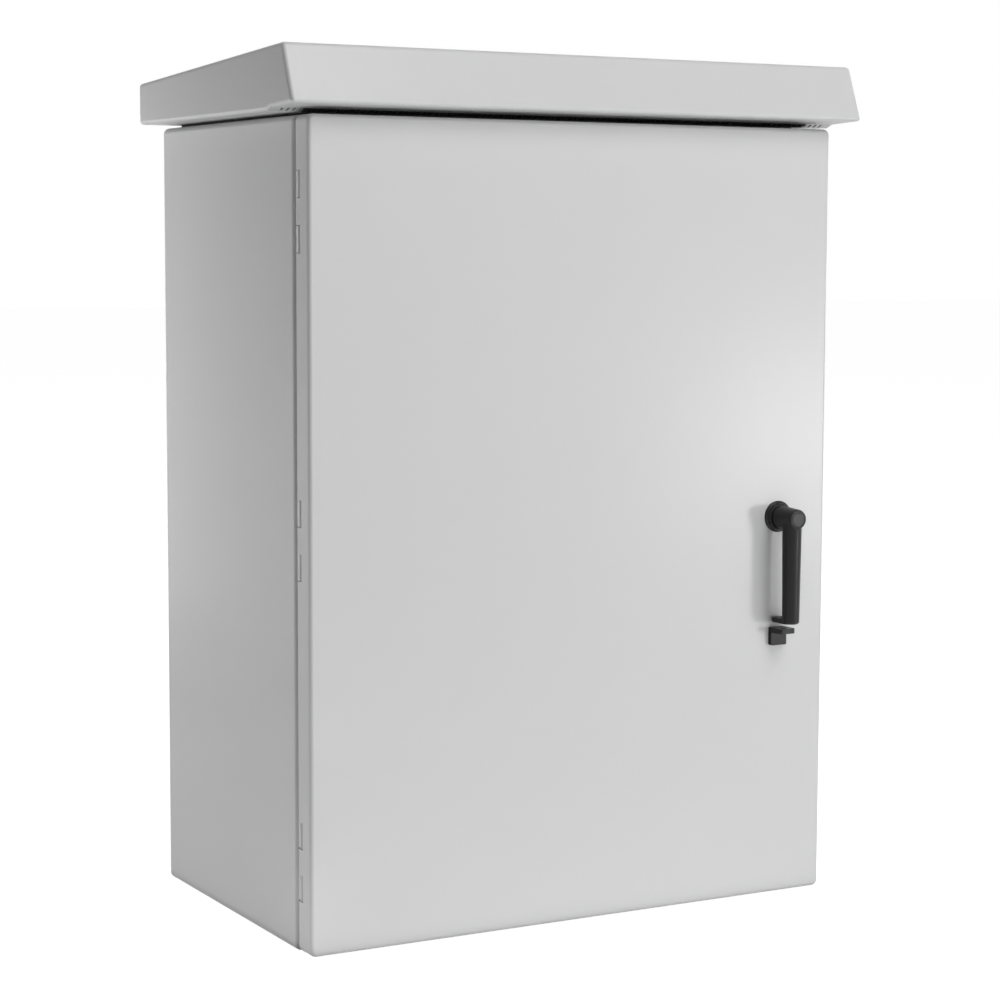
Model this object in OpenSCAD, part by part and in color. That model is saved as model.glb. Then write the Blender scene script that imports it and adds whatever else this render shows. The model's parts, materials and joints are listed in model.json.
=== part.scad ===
// Traffic signal controller cabinet: sheet-metal enclosure with a vented rain hood,
// a hinged door with a three-point latch, and the controller equipment inside.
// Origin: centre of the cabinet's bottom face. +Z up, door towards -Y. Millimetres.

/* [Cabinet body] */
// Width of the cabinet body
body_w = 750; // [700:1:820]
// Depth of the cabinet body without the door
body_d = 424; // [400:1:480]
// Height of the cabinet body
body_h = 1012; // [980:1:1080]
// Thickness of the body sheet
wall = 3; // [2:0.5:4]
// Radius of the body's outer edges
edge_r = 8; // [6:0.5:12]
// Width of the flange around the front opening
flange_w = 23; // [20:1:30]
// Depth of the weather collar ahead of the front flange
collar_depth = 28; // [24:0.5:29]
// Thickness of the collar sheet
collar_t = 2.5; // [2:0.5:3]

/* [Fixing holes] */
// Radius of the wall mounting holes in the back
back_hole_r = 5.5; // [4:0.5:8]
// Distance of the wall-fixing holes from the sides
back_hole_side = 75; // [55:1:120]
// Distance of the wall-fixing holes from the top and the bottom
back_hole_end = 61; // [56:1:76]
// Radius of the anchor holes in the floor
anchor_r = 7; // [5:0.5:9]
// Distance of the anchor holes from the sides
anchor_side = 55; // [50:1:75]
// Distance of the anchor holes from the front and the back
anchor_front = 47; // [42:1:62]

/* [Door] */
// Gap between the body and the door's rear edge
door_gap = 5; // [4:0.5:6]
// Depth of the door pan
door_depth = 35; // [34:0.5:40]
// Thickness of the door sheet
door_t = 3; // [2:0.5:3.5]
// Radius of the bend around the door's front
door_bend_r = 5; // [4:0.5:8]
// Radius of the door's corners seen from the front
door_corner_r = 8; // [6:0.5:12]
// Height of the door's lower edge above the base
door_rise = 2; // [0:0.5:4]
// Width of the foam gasket on the door
gasket_w = 14; // [10:1:18]
// Room between the gasket and the collar's edge
gasket_room = 0.3; // [0.2:0.1:0.6]
// Width of a door stiffener
stiffener_w = 44; // [30:1:60]
// Depth of a door stiffener
stiffener_d = 15; // [12:1:20]
// Sheet thickness of a door stiffener
stiffener_t = 2; // [1.5:0.5:2.5]
// Distance from the middle of the door to each stiffener
stiffener_x = 150; // [130:1:180]

/* [Hinges] */
// Distance of the outer hinges' middles from the body's ends
hinge_end = 114; // [106:1:156]
// Radius of the hinge knuckles
knuckle_r = 4.9; // [4.5:0.1:5.2]
// Length of a knuckle on the body
knuckle_len = 32; // [28:0.5:34]
// Distance between the two body knuckles of a hinge
knuckle_pitch = 65; // [62:0.5:70]
// Room at each end of a knuckle
knuckle_room = 0.5; // [0.3:0.1:0.8]
// Distance from the door's rear edge to the hinge axis
hinge_setback = 4.5; // [4:0.1:5]
// Radius of the hinge pins
pin_r = 1.6; // [1.4:0.1:1.7]
// Radius of the small axles inside the equipment
axle_r = 2; // [1.5:0.1:2.5]
// Running clearance around pins and shafts
run_fit = 0.05; // [0.03:0.01:0.08]
// Thickness of the leaf that ties a knuckle to the body
leaf_t = 2.5; // [2:0.1:3]

/* [Handle and hasp] */
// Distance from the handle's axis to the door's free side
handle_inset = 75; // [70:1:90]
// Reach of the handle ahead of the door
handle_reach = 47; // [44:0.5:52]
// Radius of the post at the rosette
post_base_r = 15; // [14:0.5:16]
// Radius of the post at its cap
post_cap_r = 13; // [12:0.5:14]
// Length of the grip below the handle's axis
grip_len = 138.5; // [120:0.5:150]
// Radius of the grip at its top
grip_top_r = 12.8; // [11:0.1:13]
// Radius of the grip at its foot
grip_foot_r = 11.3; // [10:0.1:12]
// Radius of the rosette
rosette_r = 20.6; // [19:0.1:24]
// Thickness of the rosette
rosette_t = 8; // [6:0.5:9]
// Radius of the handle's spindle
spindle_r = 6; // [5:0.5:6]
// Width of the padlock tabs on the handle and the door
tab_w = 24; // [20:0.5:26]
// Thickness of the padlock tabs
tab_t = 6.5; // [5:0.5:8]
// Radius of the padlock holes
padlock_r = 4.5; // [3.5:0.5:5.5]
// Distance from the door's face to the padlock holes
padlock_reach = 18; // [17:0.5:19]
// Gap between the handle's tab and the door's tab
padlock_gap = 7.5; // [5:0.5:10]
// Height of the hasp's plate
hasp_h = 24; // [20:0.5:30]
// Thickness of the hasp's plate
hasp_t = 7; // [5:0.5:8]

/* [Latch] */
// Radius from the spindle to the cam's drive pins
cam_r = 22; // [20:0.5:23]
// Radius of the cam's drive pins
drive_pin_r = 4; // [3.5:0.1:4.2]
// Thickness of the cam plate
cam_t = 5; // [4:0.5:6]
// Width of the latch rods
rod_w = 16; // [14:0.5:18]
// Thickness of the latch rods
rod_t = 6; // [5:0.5:7]
// Distance from the door's inner face to the rods
rod_standoff = 41; // [39:0.5:43]
// Radius of the rollers at the rod ends
roller_r = 9; // [7:0.5:10]
// Width of the rollers
roller_w = 8; // [7:0.5:9]
// Room between a roller and the collar at rest
roller_room = 3; // [2:0.5:6]
// Sliding room between a rod and its guides
guide_room = 0.3; // [0.2:0.05:0.5]
// Distance from the handle to the nearer guides
guide_near = 140; // [120:1:160]
// Distance of the far rod guides from the body's ends
guide_end = 106; // [96:1:146]

/* [Rain hood] */
// Overhang of the hood past each side of the body
hood_side = 32; // [20:1:45]
// Thickness of the hood sheet
hood_t = 2; // [1.5:0.5:2.5]
// Radius of the hood's bends
hood_bend_r = 5; // [4:0.5:7]
// Gap between the body's roof and the hood's base
hood_gap = 3.8; // [3:0.2:6]
// Height of the hood at the rear
hood_rear_h = 53.5; // [45:0.5:70]
// Height of the hood at its front top edge
hood_front_h = 78.2; // [72:0.2:95]
// Overhang of the front top edge past the body's front
hood_top_reach = 40; // [38:0.5:48]
// Overhang of the front lip past the body's front
hood_lip_reach = 68; // [60:0.5:80]
// Height of the front lip above the hood's base
hood_lip_rise = 6.7; // [6:0.1:9]
// Distance from the body's front back to the vent step
vent_setback = 9; // [6:0.5:14]
// Run of the vent step, front to back
vent_run = 10; // [9:0.5:12]
// Rise of the vent step
vent_rise = 4; // [3:0.1:5]
// Width of a vent slot
slot_w = 3.4; // [2.5:0.1:4]
// Distance between vent slots
slot_pitch = 8.2; // [7:0.1:10]
// Number of vent slots
slot_count = 96; // [60:2:98]
// Distance from the body's sides in to the hood's spacer
spacer_inset = 18; // [14:1:26]
// Width of the hood's spacer
spacer_w = 14; // [10:1:20]
// Distance of the hood bolts from the body's sides
hood_bolt_side = 95; // [75:1:115]
// Distance of the hood bolts from the body's front and back
hood_bolt_front = 62; // [57:1:67]
// Radius of the hood's bolts
hood_bolt_r = 4; // [3:0.5:5]

/* [Rails and shelves] */
// Width of an equipment rail
rail_w = 26; // [22:1:34]
// Depth of an equipment rail
rail_d = 18; // [14:1:24]
// Sheet thickness of rails and shelves
shelf_t = 2; // [1.5:0.5:2.5]
// Distance from the front flange to the front rails
rail_front = 92; // [85:1:105]
// Distance from the back wall to the rear rails
rail_rear = 80; // [70:1:95]
// Height of the upper shelf as a part of the body's height
upper_shelf_ratio = 0.692; // [0.68:0.002:0.71]
// Height of the lower shelf as a part of the body's height
lower_shelf_ratio = 0.472; // [0.464:0.002:0.484]
// Depth of a shelf's folded lip
shelf_lip = 18; // [12:1:24]

/* [Shelf equipment] */
// Width of the controller unit as a part of the shelf's width
controller_w_ratio = 0.508; // [0.46:0.002:0.53]
// Height of the controller as a part of the body's height
controller_h_ratio = 0.233; // [0.208:0.001:0.242]
// Depth of the controller unit
controller_d = 200; // [180:1:215]
// Width of the monitor unit
monitor_w = 130; // [110:1:140]
// Depth of the monitor unit
monitor_d = 190; // [170:1:210]
// Gap between units as a part of the shelf's width
unit_gap_ratio = 0.048; // [0.03:0.002:0.056]
// Width of the detector rack
rack_w = 330; // [300:1:350]
// Height of the detector rack as a part of the body's height
rack_h_ratio = 0.17; // [0.15:0.002:0.178]
// Depth of the detector rack
rack_d = 190; // [170:1:210]
// Number of detector cards
card_count = 10; // [8:1:12]
// Width of the power supply
supply_w = 130; // [110:1:150]

/* [Back panel] */
// Thickness of the back panel
panel_t = 3; // [2:0.5:4]
// Length of the panel's standoffs
standoff_len = 16; // [12:1:22]
// Radius of the panel's standoffs
standoff_r = 7; // [6:0.5:9]
// Distance from the panel's sides to the body's inside
panel_side = 34; // [30:1:50]
// Lower edge of the back panel as a part of the body's height
panel_low_ratio = 0.085; // [0.08:0.001:0.09]
// Upper edge of the back panel as a part of the body's height
panel_high_ratio = 0.425; // [0.41:0.001:0.434]
// Number of load switches
load_count = 8; // [6:1:8]
// Spare widths beside the load switches on the back panel
load_spare = 5; // [4:1:7]
// Lower edge of the load bay as a part of the body's height
load_ratio = 0.259; // [0.25:0.001:0.27]
// Depth of the load bay
bay_d = 26; // [20:1:34]
// Depth of the sockets in the load bay
socket_d = 9; // [6:1:12]
// Number of poles on a terminal strip
pole_count = 28; // [20:1:30]
// Distance between terminal poles
pole_pitch = 17; // [15:0.5:18]

/* [Power panel and cooling] */
// Width of a breaker
breaker_w = 26; // [24:1:30]
// Height of a breaker
breaker_h = 84; // [76:1:96]
// Depth of a breaker
breaker_d = 56; // [50:1:64]
// Radius of a breaker toggle's hub
toggle_r = 6; // [5:0.5:7]
// Side of the roof fan's frame
fan_w = 120; // [110:1:130]
// Depth of the roof fan's frame
fan_d = 38; // [32:1:40]
// Number of fan blades
blade_count = 7; // [5:1:9]
// Radius of the fan's hub
fan_hub_r = 20; // [16:0.5:24]
// Radius of the control's dial
dial_r = 13; // [10:0.5:16]

/* [Hidden] */
$fn = 64;

// Overshoot of a cutting tool past the face that it opens
cut = 1;
body_grey = [0.79, 0.81, 0.79];
black_satin = [0.10, 0.10, 0.11];
rubber_black = [0.07, 0.07, 0.07];
zinc = [0.72, 0.73, 0.74];
aluminium_plain = [0.78, 0.79, 0.80];
unit_grey = [0.62, 0.64, 0.65];
dark_plastic = [0.14, 0.14, 0.15];
pale_plastic = [0.86, 0.86, 0.83];
screen_green = [0.55, 0.62, 0.42];
copper = [0.74, 0.52, 0.30];
filter_grey = [0.35, 0.37, 0.38];

// Places on the body
half_w = body_w / 2;
half_d = body_d / 2;
mid_z = body_h / 2;
inside_x = half_w - wall;
inside_y = half_d - wall;
roof_z = body_h - wall;
open_w = body_w - 2 * flange_w;
open_h = body_h - 2 * flange_w;
open_r = edge_r - wall;

// Places on the door
door_back_y = -half_d - door_gap;
door_face_y = door_back_y - door_depth;
door_in_y = door_face_y + door_t;
door_h = body_h - door_rise;
collar_tip_y = -half_d - collar_depth;

// Hinge axis and the notches that take the body's knuckles
pin_wall = 0.3;
knuckle_flush = 0.1;
hinge_x = -half_w + max(knuckle_r + knuckle_flush, door_t + pin_r + run_fit + pin_wall);
hinge_y = door_back_y - hinge_setback;
hinge_z = [hinge_end, mid_z, body_h - hinge_end];
notch_h = knuckle_len + 2 * knuckle_room;
notch_room = 1.6;
leaf_inset = 1.8;
hinge_len = knuckle_pitch + knuckle_len;

// Handle, hasp and latch
handle_x = half_w - handle_inset;
handle_z = mid_z;
handle_tip_y = door_face_y - handle_reach;
post_room = 0.5;
post_base_y = door_face_y - rosette_t - post_room;
cap_t = 1.2;
cap_step = 0.8;
grip_y = handle_tip_y + grip_top_r + cap_t;
grip_foot_z = handle_z - grip_len;
grip_edge_r = 3;
padlock_y = door_face_y - padlock_reach;
tab_room = 3;
tab_trim = 1;
tab_r = 4;
hasp_top_z = grip_foot_z - padlock_gap;
hasp_wall = 5.5;
hasp_tip = padlock_reach + padlock_r + hasp_wall;
rod_y = door_in_y + rod_standoff;
cam_y = rod_y + rod_t + cut;
cam_hub_t = 5;
cam_hub_r = spindle_r + cam_hub_t;
drive = cam_r * cos(45);
rod_travel = 2 * drive;
rod_offset = (cam_r + drive) / 2;
drive_room = 1.2;
drive_side_room = 0.4;
rod_slot_w = cam_r - drive + 2 * (drive_pin_r + drive_side_room);
rod_slot_h = 2 * (drive_pin_r + drive_room);
head_side = 4.25;
head_end = 6;
rod_head_w = rod_slot_w + 2 * head_side;
rod_head_h = rod_slot_h + 2 * head_end;
roller_reach = open_h / 2 - collar_t - roller_room - roller_r;
roller_pin_r = 2.5;
fork_room = 0.4;
fork_end = 2;
guide_t = 3;
guide_side = 8;
guide_w = rod_w + 2 * guide_side;
guide_foot = 22;

// Rain hood outline, seen from the side: [y, z] of its corners
hood_w = body_w + 2 * hood_side;
hood_base_z = body_h + hood_gap;
vent_back_y = -half_d + vent_setback;
vent_front_y = vent_back_y - vent_run;
hood_outline = [
  [half_d, hood_base_z],
  [half_d, hood_base_z + hood_rear_h],
  [-half_d - hood_top_reach, hood_base_z + hood_front_h],
  [-half_d - hood_lip_reach, hood_base_z + hood_lip_rise],
  [vent_back_y, hood_base_z]
];
slot_edge = 0.8;
slot_len = vent_run - 2 * slot_edge;
bend_facets = 24;
bolt_room = 0.5;

// Fan and exhaust way through the roof into the hood
fan_y = 30;
fan_rim = 3;
fan_bore_r = fan_w / 2 - fan_rim;
floor_w = 2 * inside_x;
exhaust_w = 0.565 * floor_w;
exhaust_d = 220;

// Rails and shelves
rail_x = inside_x - rail_d;
rail_front_y = -inside_y + rail_front;
rail_rear_y = inside_y - rail_rear;
rail_end = 46;
rail_low = rail_end;
rail_high = roof_z - rail_end;
shelf_front_y = rail_front_y - rail_w / 2;
shelf_rear_y = rail_rear_y + rail_w / 2;
upper_shelf_z = upper_shelf_ratio * body_h;
lower_shelf_z = lower_shelf_ratio * body_h;

// Units on the shelves
unit_gap = unit_gap_ratio * 2 * rail_x;
unit_setback = 12;
unit_left_x = -rail_x + unit_gap;
unit_front_y = shelf_front_y + unit_setback;
controller_w = controller_w_ratio * 2 * rail_x;
controller_h = controller_h_ratio * body_h;
rack_h = rack_h_ratio * body_h;
face_t = 3;
controller_x = unit_left_x + controller_w / 2;
monitor_x = unit_left_x + controller_w + unit_gap + monitor_w / 2;
rack_x = unit_left_x + rack_w / 2;
supply_x = unit_left_x + rack_w + unit_gap + supply_w / 2;
card_side = 12;
card_pitch = (rack_w - 2 * card_side) / card_count;
function card_x(k) = rack_x - rack_w / 2 + card_side + (k + 0.5) * card_pitch;

// Back panel and what it carries
panel_y = inside_y - standoff_len - panel_t;
panel_w = 2 * (inside_x - panel_side);
panel_low = panel_low_ratio * body_h;
panel_high = panel_high_ratio * body_h;
panel_edge = 12;
load_z = load_ratio * body_h;
load_pitch = panel_w / (load_count + load_spare);
bay_end = 6;
bay_w = load_count * load_pitch + 2 * bay_end;
bay_x = -panel_w / 2 + panel_edge + bay_w / 2;
bay_h = 120;
bay_y = panel_y - bay_d;
bay_rib = 4;
load_d = 118;
strip_end = 5;
strip_w = pole_count * pole_pitch + 2 * strip_end;
strip_x = -panel_w / 2 + panel_edge + strip_w / 2;
strip_h = 40;
strip_d = 22;
strip_rise = 36;
strip_spacing = 68;
strip_z = [panel_low + strip_rise, panel_low + strip_rise + strip_spacing];

// Power panel on the right-hand rails
power_x = rail_x - panel_t;
power_drop = 16;
power_low = panel_low - power_drop;
power_high = panel_high;
breaker_gap = 10;
breaker_inset = 24;
breaker_top = 40;
breaker_y = [for (k = [0 : 2]) rail_front_y + breaker_inset + k * (breaker_w + breaker_gap)];
breaker_z = power_high - breaker_top - breaker_h / 2;
breaker_face_x = power_x - breaker_d;
toggle_room = 0.3;
toggle_slot_h = 34;
toggle_slot_w = 14;
toggle_tilt = 18;

// Fan control on the right-hand wall
control_d = 42;
control_w = 64;
control_h = 100;
control_y = 10;
control_rise = 130;
control_z = upper_shelf_z + control_rise;
dial_t = 12;
dial_face = 2;
dial_room = 0.5;
dial_rise = 16;

// A cube given by its lowest and highest corners
module block(low, high) {
  translate(low) cube(high - low);
}

// A cylinder along +Y between two depths
module rod_along_y(x, z, y_from, y_to, r) {
  translate([x, y_from, z]) rotate([-90, 0, 0]) cylinder(r = r, h = y_to - y_from);
}

// A cylinder along +X between two places
module rod_along_x(y, z, x_from, x_to, r) {
  translate([x_from, y, z]) rotate([0, 90, 0]) cylinder(r = r, h = x_to - x_from);
}

// A centred rectangle with round corners
module rounded_rect(w, h, r) {
  square([w - 2 * r, h], center = true);
  square([w, h - 2 * r], center = true);
  for (side = [-1, 1], end = [-1, 1]) {
    translate([side * (w / 2 - r), end * (h / 2 - r)]) circle(r);
  }
}

// A centred box with every edge rounded
module rounded_box(w, d, h, r) {
  intersection() {
    translate([0, 0, -h / 2]) linear_extrude(h) rounded_rect(w, d, r);
    translate([0, d / 2, 0]) rotate([90, 0, 0]) linear_extrude(d) rounded_rect(w, h, r);
    translate([-w / 2, 0, 0]) rotate([90, 0, 90]) linear_extrude(w) rounded_rect(d, h, r);
  }
}

// A rectangular frame in the XZ plane between two depths
module frame_xz(w, h, t, r, y_from, y_to) {
  translate([0, y_to, mid_z]) rotate([90, 0, 0]) linear_extrude(y_to - y_from) {
    difference() {
      rounded_rect(w, h, r);
      rounded_rect(w - 2 * t, h - 2 * t, max(r - t, 1));
    }
  }
}

// Four copies at given distances from the body's sides and from its front and back
module at_corners(from_side, from_front) {
  for (side = [-1, 1], end = [-1, 1]) {
    translate([side * (half_w - from_side), end * (half_d - from_front), 0]) children();
  }
}

// Gland plate and air intake openings in the floor
gland_x = 0.105 * floor_w;
gland_y = 92;
gland_w = 0.43 * floor_w;
gland_d = 120;
gland_lap = 20;
gland_t = 3;
intake_x = -0.3 * floor_w;
intake_y = 40;
intake_w = 0.255 * floor_w;
intake_d = 130;
intake_count = 12;
intake_bar = intake_w / (2 * intake_count);
filter_t = 20;
filter_lap = 12;

module cabinet_shell() {
  color(body_grey) difference() {
    translate([0, 0, mid_z]) rounded_box(body_w, body_d, body_h, edge_r);
    translate([0, 0, mid_z]) {
      rounded_box(body_w - 2 * wall, body_d - 2 * wall, body_h - 2 * wall, edge_r - wall);
    }
    translate([0, -half_d + wall + cut, mid_z]) rotate([90, 0, 0]) {
      linear_extrude(wall + 2 * cut) rounded_rect(open_w, open_h, open_r);
    }
    for (side = [-1, 1], end = [-1, 1]) {
      rod_along_y(side * (half_w - back_hole_side), mid_z + end * (mid_z - back_hole_end),
                  inside_y - cut, half_d + cut, back_hole_r);
    }
    translate([0, 0, -cut]) at_corners(anchor_side, anchor_front) {
      cylinder(r = anchor_r, h = wall + 2 * cut);
    }
    translate([gland_x, gland_y, -cut]) linear_extrude(wall + 2 * cut) {
      rounded_rect(gland_w, gland_d, edge_r);
    }
    for (k = [0 : intake_count - 1]) {
      translate([intake_x + (k - (intake_count - 1) / 2) * 2 * intake_bar, intake_y, wall / 2]) {
        cube([intake_bar, intake_d, wall + 2 * cut], center = true);
      }
    }
    translate([0, fan_y, roof_z - cut]) cylinder(r = fan_bore_r, h = wall + 2 * cut);
    translate([0, 0, roof_z - cut]) {
      at_corners(hood_bolt_side, hood_bolt_front) cylinder(r = hood_bolt_r + bolt_room, h = wall + 2 * cut);
    }
  }
}

module door_collar() {
  color(body_grey) frame_xz(open_w, open_h, collar_t, open_r, collar_tip_y, -half_d + wall);
}

// Centre of the circle of radius r that touches both edges at a corner of the hood outline
function bend_centre(k, r) =
  let (
    count = len(hood_outline),
    here = hood_outline[k],
    before = hood_outline[(k + count - 1) % count] - here,
    after = hood_outline[(k + 1) % count] - here,
    u = before / norm(before),
    v = after / norm(after),
    middle = (u + v) / norm(u + v)
  )
  here + middle * r / sqrt((1 - u * v) / 2);

// The hood's outer form, or its hollow when inset by the sheet thickness
module hood_form(inset) {
  intersection() {
    hull() for (k = [0 : len(hood_outline) - 1], side = [-1, 1]) {
      place = bend_centre(k, hood_bend_r);
      translate([side * (hood_w / 2 - hood_bend_r), place[0], place[1]]) {
        sphere(r = hood_bend_r - inset, $fn = bend_facets);
      }
    }
    translate([-hood_w, 0, inset]) rotate([90, 0, 90]) linear_extrude(2 * hood_w) {
      polygon([
        [half_d + cut, hood_base_z],
        [vent_back_y, hood_base_z],
        [vent_front_y, hood_base_z + vent_rise],
        [-half_d - hood_lip_reach, hood_base_z + hood_lip_rise],
        [-half_d - hood_lip_reach - cut, hood_base_z + 2 * hood_front_h],
        [half_d + cut, hood_base_z + 2 * hood_front_h]
      ]);
    }
  }
}

// The strip of the hood's underside that the vent plate fills
module vent_strip(w) {
  translate([-w / 2, 0, 0]) rotate([90, 0, 90]) linear_extrude(w) polygon([
    [vent_back_y, hood_base_z],
    [vent_back_y, hood_base_z + hood_t],
    [vent_front_y, hood_base_z + vent_rise + hood_t],
    [vent_front_y, hood_base_z + vent_rise]
  ]);
}

module rain_hood() {
  color(body_grey) difference() {
    hood_form(0);
    hood_form(hood_t);
    vent_strip(hood_w - 2 * hood_t);
    translate([0, fan_y, hood_base_z + hood_t / 2]) {
      cube([exhaust_w, exhaust_d, hood_t + 2 * cut], center = true);
    }
    translate([0, 0, hood_base_z - cut]) {
      at_corners(hood_bolt_side, hood_bolt_front) cylinder(r = hood_bolt_r + bolt_room, h = hood_t + 2 * cut);
    }
  }
}

module hood_vent_plate() {
  color(body_grey) difference() {
    vent_strip(hood_w - 2 * hood_t);
    for (k = [0 : slot_count - 1]) {
      x = (k - (slot_count - 1) / 2) * slot_pitch;
      translate([x, (vent_back_y + vent_front_y) / 2, hood_base_z - cut]) {
        linear_extrude(vent_rise + hood_t + 2 * cut) {
          square([slot_w, slot_len - slot_w], center = true);
          for (end = [-1, 1]) translate([0, end * (slot_len - slot_w) / 2]) circle(slot_w / 2);
        }
      }
    }
  }
}

module hood_spacer() {
  w = body_w - 2 * spacer_inset;
  d = body_d - 2 * spacer_inset;
  color(rubber_black) translate([0, 0, body_h]) linear_extrude(hood_gap) difference() {
    rounded_rect(w, d, edge_r);
    square([w - 2 * spacer_w, d - 2 * spacer_w], center = true);
  }
}

module hood_bolts() {
  head_h = 5;
  nut_room = 0.1;
  color(zinc) at_corners(hood_bolt_side, hood_bolt_front) {
    translate([0, 0, roof_z - head_h]) cylinder(r = 2 * hood_bolt_r, h = head_h, $fn = 6);
    translate([0, 0, roof_z - cut]) {
      cylinder(r = hood_bolt_r, h = wall + hood_gap + hood_t + head_h + 3 * cut);
    }
    translate([0, 0, hood_base_z + hood_t + nut_room]) cylinder(r = 2 * hood_bolt_r, h = head_h, $fn = 6);
  }
}

module hinge_body_knuckles() {
  leaf_x = hinge_x - knuckle_r + leaf_inset;
  color(body_grey) for (z = hinge_z, end = [-1, 1]) {
    low = z + end * knuckle_pitch / 2 - knuckle_len / 2;
    difference() {
      union() {
        translate([hinge_x, hinge_y, low]) cylinder(r = knuckle_r, h = knuckle_len);
        block([leaf_x, hinge_y, low], [leaf_x + leaf_t, -half_d, low + knuckle_len]);
      }
      translate([hinge_x, hinge_y, low - cut]) {
        cylinder(r = pin_r + run_fit, h = knuckle_len + 2 * cut);
      }
    }
  }
}

module hinge_pins() {
  color(zinc) for (z = hinge_z) {
    translate([hinge_x, hinge_y, z - hinge_len / 2]) cylinder(r = pin_r, h = hinge_len);
  }
}

module hinge_door_knuckles() {
  inner_x = -half_w + door_t;
  length = knuckle_pitch - knuckle_len - 2 * knuckle_room;
  color(body_grey) for (z = hinge_z) {
    difference() {
      translate([hinge_x, hinge_y, z - length / 2]) cylinder(r = knuckle_r, h = length);
      block([-half_w - cut, hinge_y - 2 * knuckle_r, z - length],
            [inner_x, hinge_y + 2 * knuckle_r, z + length]);
      translate([hinge_x, hinge_y, z - length]) cylinder(r = pin_r + run_fit, h = 2 * length);
    }
  }
}

// A C-section rail that stands on a side wall, open towards the middle
module rail(y) {
  lip = rail_w / 4;
  difference() {
    block([rail_x, y - rail_w / 2, rail_low], [inside_x, y + rail_w / 2, rail_high]);
    block([rail_x + shelf_t, y - rail_w / 2 + shelf_t, rail_low - cut],
          [inside_x - shelf_t, y + rail_w / 2 - shelf_t, rail_high + cut]);
    block([rail_x - cut, y - rail_w / 2 + lip, rail_low - cut],
          [rail_x + shelf_t + cut, y + rail_w / 2 - lip, rail_high + cut]);
  }
}

module equipment_rails() {
  color(aluminium_plain) for (y = [rail_front_y, rail_rear_y], side = [0, 1]) {
    mirror([side, 0, 0]) rail(y);
  }
}

// A shelf tray with a lip folded down all round
module shelf(top_z) {
  difference() {
    block([-rail_x, shelf_front_y, top_z - shelf_lip], [rail_x, shelf_rear_y, top_z]);
    block([-rail_x + shelf_t, shelf_front_y + shelf_t, top_z - shelf_lip - cut],
          [rail_x - shelf_t, shelf_rear_y - shelf_t, top_z - shelf_t]);
  }
}

module upper_shelf() {
  color(aluminium_plain) shelf(upper_shelf_z);
}

module lower_shelf() {
  color(aluminium_plain) shelf(lower_shelf_z);
}

module back_panel() {
  color(aluminium_plain) block([-panel_w / 2, panel_y, panel_low],
                               [panel_w / 2, panel_y + panel_t, panel_high]);
}

module panel_standoffs() {
  edge = 30;
  color(zinc) for (side = [-1, 0, 1], z = [panel_low + edge, panel_high - edge]) {
    rod_along_y(side * (panel_w / 2 - edge), z, panel_y + panel_t, inside_y, standoff_r);
  }
}

// A unit's housing that stands on a shelf, with a row of vent slots in each side
module unit_case(x, w, d, h, z) {
  vent_w = 4;
  vent_pitch = 12;
  vent_count = 8;
  difference() {
    block([x - w / 2, unit_front_y + face_t, z], [x + w / 2, unit_front_y + face_t + d, z + h]);
    for (k = [0 : vent_count - 1], side = [-1, 1]) {
      y = unit_front_y + d / 2 + (k - (vent_count - 1) / 2) * vent_pitch;
      translate([x + side * w / 2, y, z + 0.62 * h]) cube([2 * vent_w, vent_w, h / 4], center = true);
    }
  }
}

module controller_case() {
  color(unit_grey) unit_case(controller_x, controller_w, controller_d, controller_h, upper_shelf_z);
}

// Places on the controller's face
controller_left = controller_x - controller_w / 2;
controller_top = upper_shelf_z + controller_h;
screen_w = 150;
screen_h = 62;
screen_side = 26;
screen_top = 28;
screen_x = controller_left + screen_side + screen_w / 2;
screen_z = controller_top - screen_top - screen_h / 2;
key_pitch = 17;
key_gap = 34;
key_x = screen_x + screen_w / 2 + key_gap;
key_z = screen_z - 2.5 * key_pitch;
connector_r = 18;
connector_step = 3;
connector_count = 3;
connector_rise = 56;
connector_pitch = 62;
connector_side = 50;
connector_barrel = 16;
flange_t = 4;
flange_lap = 5;
shell_t = 3;
face_ear = 14;
face_pull_side = 6;
face_pull_half = 5;
face_pull_reach = 26;
face_pull_bar = 9;
face_pull_end = 60;

// A pull handle that stands out from a face: a bar on two feet
module pull(x, face_y, low, high, half, reach, bar) {
  difference() {
    block([x - half, face_y - reach, low], [x + half, face_y, high]);
    block([x - half - cut, face_y - reach + bar, low + bar], [x + half + cut, face_y + cut, high - bar]);
  }
}

module controller_face() {
  color(dark_plastic) difference() {
    union() {
      block([controller_left - face_ear, unit_front_y, upper_shelf_z],
            [controller_left + controller_w + face_ear, unit_front_y + face_t, controller_top]);
      for (side = [-1, 1]) {
        pull(controller_x + side * (controller_w / 2 - face_pull_side), unit_front_y,
             upper_shelf_z + face_pull_end, controller_top - face_pull_end,
             face_pull_half, face_pull_reach, face_pull_bar);
      }
    }
    block([screen_x - screen_w / 2, unit_front_y - cut, screen_z - screen_h / 2],
          [screen_x + screen_w / 2, unit_front_y + face_t - cut, screen_z + screen_h / 2]);
  }
}

module controller_display() {
  glass_y = unit_front_y + face_t - 2 * cut;
  color(screen_green) block([screen_x - screen_w / 2, glass_y, screen_z - screen_h / 2],
                            [screen_x + screen_w / 2, glass_y + cut, screen_z + screen_h / 2]);
}

module controller_keypad() {
  key_w = 12;
  key_h = 10;
  key_r = 2;
  key_out = 2;
  columns = 4;
  rows = 6;
  color(pale_plastic) for (column = [0 : columns - 1], row = [0 : rows - 1]) {
    translate([key_x + column * key_pitch, unit_front_y, key_z + row * key_pitch]) {
      rotate([90, 0, 0]) linear_extrude(key_out) rounded_rect(key_w, key_h, key_r);
    }
  }
}

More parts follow.
